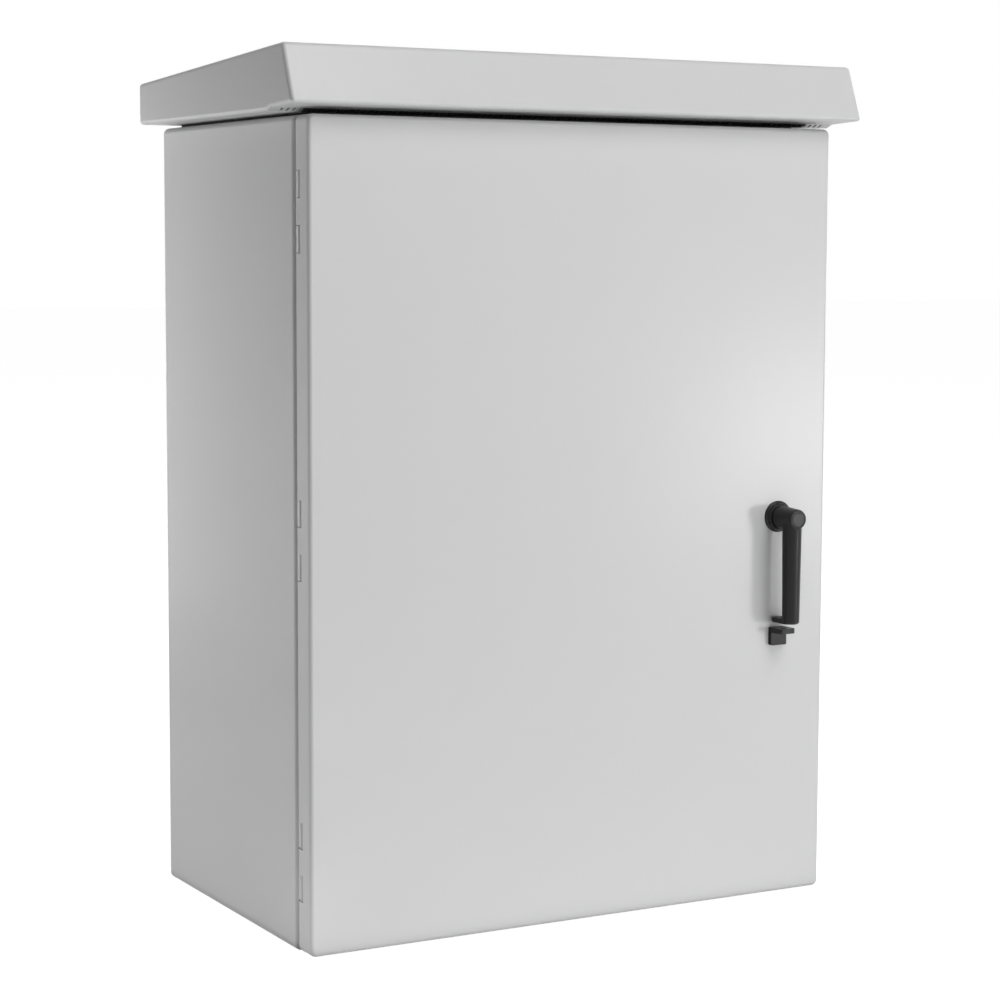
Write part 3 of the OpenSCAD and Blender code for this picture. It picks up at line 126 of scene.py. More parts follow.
def take_up(piece: bpy.types.Object) -> None:
    """Makes one piece the only selected object and the active one."""
    clear_selection()
    piece.select_set(True)
    bpy.context.view_layer.objects.active = piece


def add_block(name: str, low: Point, high: Point) -> bpy.types.Object:
    """Adds a cube that fills the box between two corners.

    Args:
        name: The new object's name.
        low: The lowest corner, in metres.
        high: The highest corner, in metres.

    Returns:
        The block, with its place applied to its mesh.
    """
    clear_selection()
    low, high = Vector(low), Vector(high)
    bpy.ops.mesh.primitive_cube_add(size=1.0, location=(low + high) / 2, scale=high - low)
    bpy.ops.object.transform_apply(location=True, rotation=True, scale=True)
    piece = bpy.context.object
    piece.name = name
    return piece


def add_round(name: str, start: Point, end: Point, start_r: float, end_r: float | None = None,
              sides: int = 64) -> bpy.types.Object:
    """Adds a round bar or a taper between two points.

    Args:
        name: The new object's name.
        start: The centre of the first end.
        end: The centre of the second end.
        start_r: The radius at the first end.
        end_r: The radius at the second end, the same as the first where it is left out.
        sides: The number of sides round the bar.

    Returns:
        The bar, with its place applied to its mesh.
    """
    clear_selection()
    start, end = Vector(start), Vector(end)
    along = end - start
    bpy.ops.mesh.primitive_cone_add(
        vertices=sides, radius1=start_r, radius2=start_r if end_r is None else end_r,
        depth=along.length, location=(start + end) / 2,
        rotation=along.to_track_quat("Z", "Y").to_euler())
    bpy.ops.object.transform_apply(location=True, rotation=True, scale=True)
    piece = bpy.context.object
    piece.name = name
    return piece


def pick(piece: bpy.types.Object, kind: Pick, wanted: Callable) -> int:
    """Opens a piece in edit mode with the elements that pass a test selected.

    Args:
        piece: The piece to edit.
        kind: Whether vertices, edges or faces are selected.
        wanted: The test on one element.

    Returns:
        The number of elements selected.
    """
    take_up(piece)
    bpy.ops.object.mode_set(mode="EDIT")
    bpy.context.tool_settings.mesh_select_mode = [kind is each for each in Pick]
    bpy.ops.mesh.select_all(action="DESELECT")
    mesh = bmesh.from_edit_mesh(piece.data)
    elements = {Pick.VERTS: mesh.verts, Pick.EDGES: mesh.edges, Pick.FACES: mesh.faces}[kind]
    found = [each for each in elements if wanted(each)]
    for each in found:
        each.select_set(True)
    mesh.select_flush_mode()
    bmesh.update_edit_mesh(piece.data)
    return len(found)


def everything(_element: object) -> bool:
    """Passes every element."""
    return True


def edge_middle(edge: bmesh.types.BMEdge) -> Vector:
    """Gives the middle of an edge."""
    return (edge.verts[0].co + edge.verts[1].co) / 2


def runs_along(edge: bmesh.types.BMEdge, axis: Axis) -> bool:
    """Says whether an edge runs along an axis."""
    line = (edge.verts[1].co - edge.verts[0].co).normalized()
    return abs(line[axis.value]) > STRAIGHT


def near(value: float, goal: float, room: float = 2e-4) -> bool:
    """Says whether two lengths agree, to a fifth of a millimetre if no room is given."""
    return abs(value - goal) < room


def bevel_picked(width: float, steps: int) -> None:
    """Bevels the edges selected in edit mode, then leaves edit mode."""
    bpy.ops.mesh.bevel(offset=width, offset_type="OFFSET", segments=steps, profile=0.5,
                       affect="EDGES", clamp_overlap=True)
    bpy.ops.object.mode_set(mode="OBJECT")


def shift_picked(piece: bpy.types.Object, wanted: Callable, step: Point) -> None:
    """Moves the vertices that pass a test.

    Args:
        piece: The piece to edit.
        wanted: The test on one vertex.
        step: The move, in metres.
    """
    pick(piece, Pick.VERTS, wanted)
    bpy.ops.transform.translate(value=step)
    bpy.ops.object.mode_set(mode="OBJECT")


def drop_faces(piece: bpy.types.Object, wanted: Callable) -> None:
    """Deletes the faces that pass a test."""
    pick(piece, Pick.FACES, wanted)
    bpy.ops.mesh.delete(type="FACE")
    bpy.ops.object.mode_set(mode="OBJECT")


def apply_modifier(piece: bpy.types.Object, kind: str, **settings: object) -> None:
    """Adds one modifier to a piece and applies it.

    Args:
        piece: The piece to change.
        kind: The modifier's type.
        settings: The modifier's settings.
    """
    take_up(piece)
    modifier = piece.modifiers.new(kind.lower(), kind)
    for key, value in settings.items():
        setattr(modifier, key, value)
    bpy.ops.object.modifier_apply(modifier=modifier.name)


def thicken(piece: bpy.types.Object, thickness: float) -> None:
    """Gives a sheet its thickness, inwards from its outer face."""
    apply_modifier(piece, "SOLIDIFY", thickness=thickness, offset=-1.0, use_even_offset=True)


def join(pieces: Sequence[bpy.types.Object], name: str) -> bpy.types.Object:
    """Joins pieces into one object.

    Args:
        pieces: The pieces, at least one.
        name: The joined object's name.

    Returns:
        The joined object.
    """
    take_up(pieces[0])
    for each in pieces[1:]:
        each.select_set(True)
    if len(pieces) > 1:
        bpy.ops.object.join()
    pieces[0].name = name
    return pieces[0]


def combine(piece: bpy.types.Object, tools: Sequence[bpy.types.Object], operation: str) -> None:
    """Cuts tools out of a piece or fuses them to it, and removes the tools.

    Args:
        piece: The piece to change.
        tools: The tools, which don't overlap each other.
        operation: The boolean's operation.
    """
    tool = join(tools, "tool")
    apply_modifier(piece, "BOOLEAN", operation=operation, object=tool, solver="EXACT")
    bpy.data.objects.remove(tool, do_unlink=True)


def ease(piece: bpy.types.Object, width: float, steps: int = 2, angle: float = 35.0) -> None:
    """Rounds every edge of a piece that is sharper than an angle.

    Args:
        piece: The piece to change.
        width: The width of the rounding, in metres.
        steps: The number of segments across it.
        angle: The least angle of an edge, in degrees.
    """
    apply_modifier(piece, "BEVEL", width=width, segments=steps, limit_method="ANGLE",
                   angle_limit=radians(angle), use_clamp_overlap=True)


def polish(piece: bpy.types.Object, angle: float = 40.0) -> None:
    """Shades a piece smooth, with its flat faces kept flat.

    Args:
        piece: The piece to shade.
        angle: The angle, in degrees, past which an edge stays sharp.
    """
    take_up(piece)
    bpy.ops.object.shade_smooth_by_angle(angle=radians(angle))
    apply_modifier(piece, "WEIGHTED_NORMAL", keep_sharp=True, weight=60)


def turn_profile(name: str, base: Point, profile: Sequence[tuple[float, float]],
                 sides: int = 72) -> bpy.types.Object:
    """Turns a piece about a line that runs to the front, ring by ring.

    A disc stands at the base, facing the front, and each further ring is extruded from the last
    one and drawn in or out to its radius.

    Args:
        name: The new object's name.
        base: The centre of the first ring.
        profile: The distance in front of the base and the radius of each ring.
        sides: The number of sides round the piece.

    Returns:
        The turned piece, closed at both ends.
    """
    clear_selection()
    base = Vector(base)
    first_y, first_r = profile[0]
    bpy.ops.mesh.primitive_circle_add(vertices=sides, radius=first_r, fill_type="NGON",
                                      location=base - Vector((0.0, first_y, 0.0)),
                                      rotation=(pi / 2, 0.0, 0.0))
    bpy.ops.object.transform_apply(location=True, rotation=True, scale=True)
    piece = bpy.context.object
    piece.name = name
    pick(piece, Pick.FACES, everything)
    last_y, last_r = first_y, first_r
    for ahead, radius in profile[1:]:
        bpy.ops.mesh.extrude_region_move(
            TRANSFORM_OT_translate={"value": (0.0, last_y - ahead, 0.0)})
        grow = radius / last_r
        bpy.ops.transform.resize(value=(grow, 1.0, grow),
                                 center_override=base - Vector((0.0, ahead, 0.0)))
        last_y, last_r = ahead, radius
    bpy.ops.mesh.select_all(action="SELECT")
    bpy.ops.mesh.normals_make_consistent(inside=False)
    bpy.ops.object.mode_set(mode="OBJECT")
    return piece


def copy_of_solid(node: str, name: str) -> bpy.types.Object:
    """Copies a solid of the frame as a clean mesh of flat faces.

    Args:
        node: The solid's node.
        name: The copy's name.

    Returns:
        The copy, merged and with its coplanar triangles dissolved.
    """
    clear_selection()
    piece = bpy.data.objects.new(name, frame["nodes"][node].data.copy())
    bpy.context.scene.collection.objects.link(piece)
    pick(piece, Pick.FACES, everything)
    bpy.ops.mesh.remove_doubles(threshold=2e-6)
    bpy.ops.mesh.select_all(action="SELECT")
    bpy.ops.mesh.dissolve_limited(angle_limit=radians(0.5))
    bpy.ops.object.mode_set(mode="OBJECT")
    return piece


def paint_faces(piece: bpy.types.Object, finish: "Finish", wanted: Callable) -> int:
    """Gives the faces that pass a test a second finish.

    Args:
        piece: The piece, which has its main finish already.
        finish: The finish of the picked faces.
        wanted: The test on one face.

    Returns:
        The number of faces painted.
    """
    piece.data.materials.append(finish.material())
    found = pick(piece, Pick.FACES, wanted)
    if found:
        piece.active_material_index = len(piece.data.materials) - 1
        bpy.ops.object.material_slot_assign()
    bpy.ops.object.mode_set(mode="OBJECT")
    return found


def settle(piece: bpy.types.Object, body: Body, slot: Slot, finish: "Finish | None" = None,
           nodes: Iterable[str] = ()) -> None:
    """Gives a finished piece its material, its slot's finish where no finish is given, its body,
    and hides the solids it stands for.

    Args:
        piece: The finished piece.
        body: The body it rides on.
        slot: The record's slot for its finish.
        finish: Its finish, or the slot's own where it is left out.
        nodes: The solids that it replaces.
    """
    clear_selection()
    chosen = (finish or SLOT_FINISH[slot]).material()
    if len(piece.data.materials):
        piece.data.materials[0] = chosen
    else:
        piece.data.materials.append(chosen)
    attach(piece, body.value)
    nodes = tuple(nodes)
    if nodes:
        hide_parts(*nodes)
        REPLACED.update(nodes)
    LOG.info("%s: %d faces on %s", piece.name, len(piece.data.polygons), body.value)


# Shader groups that several finishes share


class NodeTable:
    """A node tree, with the two moves that groups and materials share."""

    tree: bpy.types.NodeTree

    def node(self, kind: str, **settings: object) -> bpy.types.Node:
        """Adds a node.

        Args:
            kind: The node's type.
            settings: Its settings.

        Returns:
            The new node.
        """
        new = self.tree.nodes.new(kind)
        for key, value in settings.items():
            setattr(new, key, value)
        return new

    def link(self, source: bpy.types.NodeSocket, target: bpy.types.NodeSocket) -> None:
        """Links two sockets."""
        self.tree.links.new(source, target)


class GroupBuilder(NodeTable):
    """Builds one shader node group with named sockets."""

    def __init__(self, name: str, inputs: dict[str, tuple[str, object]],
                 outputs: dict[str, str]) -> None:
        """Starts a group.

        Args:
            name: The group's name.
            inputs: The socket type and the default value of each input.
            outputs: The socket type of each output.
        """
        self.tree = bpy.data.node_groups.new(name, "ShaderNodeTree")
        for label, (kind, value) in inputs.items():
            socket = self.tree.interface.new_socket(name=label, in_out="INPUT", socket_type=kind)
            socket.default_value = value
        for label, kind in outputs.items():
            self.tree.interface.new_socket(name=label, in_out="OUTPUT", socket_type=kind)
        self.given = self.tree.nodes.new("NodeGroupInput")
        self.result = self.tree.nodes.new("NodeGroupOutput")

    def noise(self, detail: float, roughness: float,
              stretch: Point | None = None) -> bpy.types.Node:
        """Adds a noise on Object coordinates whose scale is the group's Size input.

        Args:
            detail: The noise's detail.
            roughness: The noise's roughness.
            stretch: How much the pattern is squeezed along each axis.

        Returns:
            The noise node.
        """
        place = self.node("ShaderNodeTexCoord").outputs["Object"]
        if stretch is not None:
            mapping = self.node("ShaderNodeMapping")
            mapping.inputs["Scale"].default_value = stretch
            self.link(place, mapping.inputs["Vector"])
            place = mapping.outputs["Vector"]
        noise = self.node("ShaderNodeTexNoise")
        noise.inputs["Detail"].default_value = detail
        noise.inputs["Roughness"].default_value = roughness
        self.link(place, noise.inputs["Vector"])
        self.link(self.given.outputs["Size"], noise.inputs["Scale"])
        return noise

    def math(self, operation: str, first: object, second: object) -> bpy.types.NodeSocket:
        """Adds a Math node.

        Args:
            operation: The operation.
            first: A socket or a number.
            second: A socket or a number.

        Returns:
            The result's socket.
        """
        new = self.node("ShaderNodeMath", operation=operation)
        for socket, value in zip(new.inputs, (first, second)):
            if isinstance(value, bpy.types.NodeSocket):
                self.link(value, socket)
            else:
                socket.default_value = value
        return new.outputs[0]


class Effect(Enum):
    """The shared shader effects, each built once as a node group."""

    TONE_DRIFT = "tone_drift"
    GLOSS_DRIFT = "gloss_drift"
    FINE_GRAIN = "fine_grain"
    DRAWN_LINES = "drawn_lines"
    SETTLED_DUST = "settled_dust"

    def tree(self) -> bpy.types.NodeTree:
        """Gives the effect's node group, built at its first use."""
        found = bpy.data.node_groups.get(self.value)
        return found or getattr(self, "_" + self.value)()

    def _tone_drift(self) -> bpy.types.NodeTree:
        """Builds a colour that drifts a little lighter and darker over the surface."""
        group = GroupBuilder(
            self.value,
            {"Colour": ("NodeSocketColor", (0.5, 0.5, 0.5, 1.0)),
             "Shade": ("NodeSocketFloat", 0.04), "Size": ("NodeSocketFloat", 6.0)},
            {"Colour": "NodeSocketColor"})
        noise = group.noise(4.0, 0.6)
        centred = group.math("SUBTRACT", noise.outputs["Fac"], 0.5)
        swing = group.math("MULTIPLY", centred, group.given.outputs["Shade"])
        level = group.math("ADD", group.math("MULTIPLY", swing, 2.0), 1.0)
        mix = group.node("ShaderNodeMix", data_type="RGBA", blend_type="MULTIPLY")
        mix.inputs[MIX_FACTOR].default_value = 1.0
        group.link(group.given.outputs["Colour"], mix.inputs[MIX_FIRST])
        group.link(level, mix.inputs[MIX_SECOND])
        group.link(mix.outputs[MIX_RESULT], group.result.inputs["Colour"])
        return group.tree

    def _gloss_drift(self) -> bpy.types.NodeTree:
        """Builds a roughness that drifts over the surface, with a few rubbed places."""
        group = GroupBuilder(
            self.value,
            {"Roughness": ("NodeSocketFloat", 0.4), "Spread": ("NodeSocketFloat", 0.1),
             "Size": ("NodeSocketFloat", 14.0)},
            {"Roughness": "NodeSocketFloat"})
        noise = group.noise(5.0, 0.65)
        centred = group.math("SUBTRACT", noise.outputs["Fac"], 0.5)
        swing = group.math("MULTIPLY", centred, group.given.outputs["Spread"])
        total = group.math("ADD", group.math("MULTIPLY", swing, 2.0),
                           group.given.outputs["Roughness"])
        group.link(total, group.result.inputs["Roughness"])
        return group.tree

    def _fine_grain(self) -> bpy.types.NodeTree:
        """Builds a height of small rounded bumps, as on coated sheet and moulded plastic."""
        group = GroupBuilder(self.value, {"Size": ("NodeSocketFloat", 600.0)},
                             {"Height": "NodeSocketFloat"})
        noise = group.noise(1.5, 0.45)
        cells = group.node("ShaderNodeTexVoronoi", feature="SMOOTH_F1")
        cells.inputs["Smoothness"].default_value = 0.7
        group.link(group.node("ShaderNodeTexCoord").outputs["Object"], cells.inputs["Vector"])
        group.link(group.given.outputs["Size"], cells.inputs["Scale"])
        total = group.math("ADD", noise.outputs["Fac"],
                           group.math("MULTIPLY", cells.outputs["Distance"], 0.6))
        group.link(total, group.result.inputs["Height"])
        return group.tree

    def _drawn_lines(self) -> bpy.types.NodeTree:
        """Builds the fine lines that rolling and brushing leave along a metal piece."""
        group = GroupBuilder(self.value, {"Size": ("NodeSocketFloat", 900.0)},
                             {"Height": "NodeSocketFloat"})
        lines = group.noise(3.0, 0.7, stretch=(1.0, 1.0, 0.02))
        group.link(lines.outputs["Fac"], group.result.inputs["Height"])
        return group.tree

    def _settled_dust(self) -> bpy.types.NodeTree:
        """Builds a thin dust on faces that look up, patchy over their length."""
        group = GroupBuilder(
            self.value,
            {"Colour": ("NodeSocketColor", (0.5, 0.5, 0.5, 1.0)),
             "Dust": ("NodeSocketColor", (0.45, 0.42, 0.37, 1.0)),
             "Amount": ("NodeSocketFloat", 0.1), "Size": ("NodeSocketFloat", 9.0)},
            {"Colour": "NodeSocketColor"})
        noise = group.noise(5.0, 0.6)
        split = group.node("ShaderNodeSeparateXYZ")
        group.link(group.node("ShaderNodeNewGeometry").outputs["Normal"], split.inputs[0])
        upward = group.node("ShaderNodeMapRange")
        upward.inputs["From Min"].default_value = 0.3
        upward.inputs["From Max"].default_value = 1.0
        group.link(split.outputs["Z"], upward.inputs["Value"])
        patch = group.math("MULTIPLY", upward.outputs["Result"], noise.outputs["Fac"])
        share = group.math("MULTIPLY", patch, group.given.outputs["Amount"])
        mix = group.node("ShaderNodeMix", data_type="RGBA")
        group.link(share, mix.inputs[MIX_FACTOR])
        group.link(group.given.outputs["Colour"], mix.inputs[MIX_FIRST])
        group.link(group.given.outputs["Dust"], mix.inputs[MIX_SECOND])
        group.link(mix.outputs[MIX_RESULT], group.result.inputs["Colour"])
        return group.tree


class Graph(NodeTable):
    """A material's node tree, with the moves that the finishes share."""

    def __init__(self, material: bpy.types.Material) -> None:
        """Opens a material's tree.

        Args:
            material: The material, whose default nodes are kept.
        """
        material.use_nodes = True
        self.tree = material.node_tree
        self.shader = self.tree.nodes["Principled BSDF"]

    def effect(self, effect: Effect, **values: object) -> bpy.types.Node:
        """Places a shared effect with its own values.

        Args:
            effect: The effect.
            values: The value, or the socket to link, of each named input.

        Returns:
            The group node.
        """
        new = self.node("ShaderNodeGroup", node_tree=effect.tree())
        for label, value in values.items():
            if isinstance(value, bpy.types.NodeSocket):
                self.link(value, new.inputs[label])
            else:
                new.inputs[label].default_value = value
        return new

    def bump(self, height: bpy.types.NodeSocket, strength: float, distance: float) -> None:
        """Feeds a height to the shader's normal.

        Args:
            height: The height's socket.
            strength: The bump's strength.
            distance: The bump's distance, in metres.
        """
        bump = self.node("ShaderNodeBump")
        bump.inputs["Strength"].default_value = strength
        bump.inputs["Distance"].default_value = distance
        self.link(height, bump.inputs["Height"])
        self.link(bump.outputs["Normal"], self.shader.inputs["Normal"])


# Finishes


@dataclass(frozen=True)
class Finish:
    """A coated or moulded surface with a drifting tone, a drifting gloss and a fine grain."""

    name: str
    colour: Colour
    roughness: float
    shade: float = 0.04
    shade_size: float = 6.0
    spread: float = 0.08
    grain_size: float = 600.0
    grain: float = 0.1
    grain_depth: float = 0.0003
    dust: float = 0.0
    specular: float = 0.5

    def material(self) -> bpy.types.Material:
        """Gives the finish's material, built at its first use."""
        found = bpy.data.materials.get(self.name)
        if found is not None:
            return found
        material = bpy.data.materials.new(self.name)
        graph = Graph(material)
        self.dress(graph)
        return material

    def tone(self, graph: Graph) -> bpy.types.NodeSocket:
        """Builds the finish's colour.

        Args:
            graph: The material's tree.

        Returns:
            The colour's socket.
        """
        drift = graph.effect(Effect.TONE_DRIFT, Colour=(*self.colour, 1.0), Shade=self.shade,
                             Size=self.shade_size)
        if not self.dust:
            return drift.outputs["Colour"]
        dusty = graph.effect(Effect.SETTLED_DUST, Colour=drift.outputs["Colour"],
                             Amount=self.dust)
        return dusty.outputs["Colour"]

    def dress(self, graph: Graph) -> None:
        """Builds the material's nodes.

        Args:
            graph: The material's tree.
        """
        graph.shader.inputs["Specular IOR Level"].default_value = self.specular
        graph.link(self.tone(graph), graph.shader.inputs["Base Color"])
        gloss = graph.effect(Effect.GLOSS_DRIFT, Roughness=self.roughness, Spread=self.spread)
        graph.link(gloss.outputs["Roughness"], graph.shader.inputs["Roughness"])
        grain = graph.effect(Effect.FINE_GRAIN, Size=self.grain_size)
        graph.bump(grain.outputs["Height"], self.grain, self.grain_depth)


@dataclass(frozen=True)
class BareMetal(Finish):
    """A plated or plain metal with drawn lines and cloudy patches."""

    lines: float = 0.08
    line_size: float = 900.0
    line_depth: float = 0.0002
    patch_size: float = 30.0

    def dress(self, graph: Graph) -> None:
        """Builds the material's nodes.

        Args:
            graph: The material's tree.
        """
        graph.shader.inputs["Metallic"].default_value = 1.0
        graph.link(self.tone(graph), graph.shader.inputs["Base Color"])
        drawn = graph.effect(Effect.DRAWN_LINES, Size=self.line_size)
        gloss = graph.effect(Effect.GLOSS_DRIFT, Roughness=self.roughness, Spread=self.spread,
                             Size=self.patch_size)
        graph.link(gloss.outputs["Roughness"], graph.shader.inputs["Roughness"])
        graph.bump(drawn.outputs["Height"], self.lines, self.line_depth)


@dataclass(frozen=True)
class CoatedSheet(Finish):
    """Powder coat on sheet: a thin clear gloss over an even colour with a faint orange peel."""

    coat: float = 0.30
    coat_roughness: float = 0.22

    def dress(self, graph: Graph) -> None:
        """Builds the material's nodes.

        Args:
            graph: The material's tree.
        """
        super().dress(graph)
        graph.shader.inputs["Coat Weight"].default_value = self.coat
        graph.shader.inputs["Coat Roughness"].default_value = self.coat_roughness


@dataclass(frozen=True)
class ClosedFoam(Finish):
    """A dark cellular foam with open pores in its skin."""

    pore_size: float = 1400.0
    pores: float = 0.5
    pore_depth: float = 0.0005

    def dress(self, graph: Graph) -> None:
        """Builds the material's nodes.

        Args:
            graph: The material's tree.
        """
        super().dress(graph)
        place = graph.node("ShaderNodeTexCoord").outputs["Object"]
        pores = graph.node("ShaderNodeTexVoronoi")
        pores.inputs["Scale"].default_value = self.pore_size
        graph.link(place, pores.inputs["Vector"])
        graph.bump(pores.outputs["Distance"], self.pores, self.pore_depth)


@dataclass(frozen=True)
class CharacterScreen(Finish):
    """A reflective character display: rows of faint cells under a clear cover."""

    cell_width: float = 0.0075
    row_height: float = 0.011
    cell_gap: float = 0.0012
    cell_tones: tuple[float, float] = (0.86, 0.97)
    cover_roughness: float = 0.04

    def tone(self, graph: Graph) -> bpy.types.NodeSocket:
        """Builds the screen's colour, with its rows of cells.

        Args:
            graph: The material's tree.

        Returns:
            The colour's socket.
        """
        place = graph.node("ShaderNodeTexCoord").outputs["Object"]
        mapping = graph.node("ShaderNodeMapping")
        mapping.inputs["Rotation"].default_value = (radians(90.0), 0.0, 0.0)
        graph.link(place, mapping.inputs["Vector"])
        cells = graph.node("ShaderNodeTexBrick", offset=0.0)
        cells.inputs["Scale"].default_value = 1.0
        cells.inputs["Brick Width"].default_value = self.cell_width
        cells.inputs["Row Height"].default_value = self.row_height
        cells.inputs["Mortar Size"].default_value = self.cell_gap
        for label, tone in zip(("Color1", "Color2"), self.cell_tones):
            cells.inputs[label].default_value = (*[c * tone for c in self.colour], 1.0)
        cells.inputs["Mortar"].default_value = (*self.colour, 1.0)
        graph.link(mapping.outputs["Vector"], cells.inputs["Vector"])
        drift = graph.effect(Effect.TONE_DRIFT, Colour=cells.outputs["Color"], Shade=self.shade,
                             Size=self.shade_size)
        return drift.outputs["Colour"]

    def dress(self, graph: Graph) -> None:
        """Builds the material's nodes.

        Args:
            graph: The material's tree.
        """
        super().dress(graph)
        graph.shader.inputs["Coat Weight"].default_value = 1.0
        graph.shader.inputs["Coat Roughness"].default_value = self.cover_roughness


@dataclass(frozen=True)
class LampLens(Finish):
    """A coloured lens or a diffuser with a faint light of its own."""

    glow: float = 0.0
    coat: float = 0.6
    coat_roughness: float = 0.08

    def dress(self, graph: Graph) -> None:
        """Builds the material's nodes.

        Args:
            graph: The material's tree.
        """
        super().dress(graph)
        graph.shader.inputs["Coat Weight"].default_value = self.coat
        graph.shader.inputs["Coat Roughness"].default_value = self.coat_roughness
        graph.shader.inputs["Emission Color"].default_value = (*self.colour, 1.0)
        graph.shader.inputs["Emission Strength"].default_value = self.glow


GREY_COAT = CoatedSheet("grey_powder_coat", (0.598, 0.602, 0.600), 0.62, shade=0.012,
                        shade_size=3.0, spread=0.05, grain_size=520.0, grain=0.05,
                        grain_depth=0.0004)
BLACK_SATIN = Finish("black_satin_moulding", (0.006, 0.006, 0.007), 0.32, shade=0.10,
                     shade_size=40.0, spread=0.08, grain_size=1500.0, grain=0.07, specular=0.22)
FOAM_SEAL = ClosedFoam("black_foam_seal", (0.022, 0.022, 0.022), 0.78, shade=0.15, shade_size=60.0)
ZINC_PLATE = BareMetal("zinc_plate", (0.43, 0.43, 0.41), 0.44, shade=0.09, shade_size=40.0,
                       spread=0.10)
MILL_ALUMINIUM = BareMetal("mill_aluminium", (0.48, 0.485, 0.49), 0.48, shade=0.04,
                           shade_size=14.0, spread=0.08, lines=0.12, line_size=700.0)
UNIT_ENAMEL = Finish("equipment_enamel", (0.335, 0.345, 0.350), 0.48, shade=0.03, spread=0.06,
                     grain_size=900.0, grain=0.10, dust=0.10)
DARK_MOULDING = Finish("dark_moulding", (0.022, 0.022, 0.024), 0.52, shade=0.10, shade_size=30.0,
                       grain_size=1300.0, grain=0.14, dust=0.06)
PALE_MOULDING = Finish("pale_moulding", (0.66, 0.65, 0.60), 0.44, shade=0.03, shade_size=30.0,
                       grain_size=1300.0, grain=0.08)
SCREEN = CharacterScreen("character_screen", (0.30, 0.37, 0.20), 0.36, shade=0.03, grain=0.01)
COPPER_BAR = BareMetal("copper_bar", (0.80, 0.44, 0.29), 0.34, shade=0.10, shade_size=50.0,
                       spread=0.10)
FILTER_PAD = Finish("filter_fibre", (0.25, 0.26, 0.27), 0.92, shade=0.35, shade_size=260.0,
                    grain_size=420.0, grain=0.9, grain_depth=0.002)
RED_LENS = LampLens("red_lens", (0.55, 0.02, 0.015), 0.22, shade=0.03, grain=0.02, glow=0.25)
AMBER_LENS = LampLens("amber_lens", (0.72, 0.30, 0.02), 0.22, shade=0.03, grain=0.02, glow=0.2)
GREEN_LENS = LampLens("green_lens", (0.03, 0.42, 0.08), 0.22, shade=0.03, grain=0.02, glow=0.25)
LIGHT_DIFFUSER = LampLens("light_diffuser", (0.80, 0.80, 0.77), 0.35, shade=0.02, grain=0.05)
CIRCUIT_BOARD = Finish("circuit_board", (0.018, 0.090, 0.035), 0.40, shade=0.12, shade_size=120.0,
                       grain_size=900.0, grain=0.12)

SLOT_FINISH: dict[Slot, Finish] = {
    Slot.PAINT: GREY_COAT,
    Slot.BLACK: BLACK_SATIN,
    Slot.SEAL: FOAM_SEAL,
    Slot.ZINC: ZINC_PLATE,
    Slot.ALUMINIUM: MILL_ALUMINIUM,
    Slot.UNIT: UNIT_ENAMEL,
    Slot.DARK: DARK_MOULDING,
    Slot.PALE: PALE_MOULDING,
    Slot.SCREEN: SCREEN,
    Slot.COPPER: COPPER_BAR,
    Slot.FILTER: FILTER_PAD,
}


# Sub-assemblies


def mount_row(name: str) -> dict:
    """Gives the record's entry of a mount."""
    return next(each for each in frame["record"]["mounts"] if each["name"] == name)


def frame_mount(name: str) -> Vector:
    """Gives the place of one of the record's mounts."""
    return Vector(mount_row(name)["pos_m"])


def fixing_holes(mount: str, along: tuple[Axis, Axis]) -> list[Vector]:
    """Gives the hole centres of one of the record's bolt patterns.

    Args:
        mount: The mount's name.
        along: The axes that the pattern's two spacings run along.

    Returns:
        The centres, in metres.
    """
    found = mount_row(mount)
    spans = (found["dims"]["spacing_x_mm"] / 2000, found["dims"]["spacing_y_mm"] / 2000)
    centres = []
    for first in (-1, 1):
        for second in (-1, 1):
            centre = Vector(found["pos_m"])
            centre[along[0].value] += first * spans[0]
            centre[along[1].value] += second * spans[1]
            centres.append(centre)
    return centres


def slot_of(node: str) -> Slot:
    """Gives the record's slot of a solid."""
    found = next(each for each in frame["record"]["subparts"] if each["node"] == node)
    return Slot(found["material_slot"])


def middle_of(node: str) -> Vector:
    """Gives the middle of a solid's box."""
    low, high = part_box(node)
    return (low + high) / 2


@dataclass(frozen=True)
class EasedNode:
    """A solid of the frame that gets softer edges and keeps its form."""

    node: str
    body: Body
    width: float
    steps: int = 2

    def build(self, finish: Finish | None = None) -> bpy.types.Object:
        """Copies the solid, eases its edges and puts the copy in its place.

        Args:
            finish: The copy's finish, or the slot's own where it is left out.

        Returns:
            The finished copy.
        """
        piece = copy_of_solid(self.node, self.node + "_finished")
        ease(piece, self.width, self.steps)
        polish(piece)
        settle(piece, self.body, slot_of(self.node), finish, nodes=[self.node])
        return piece


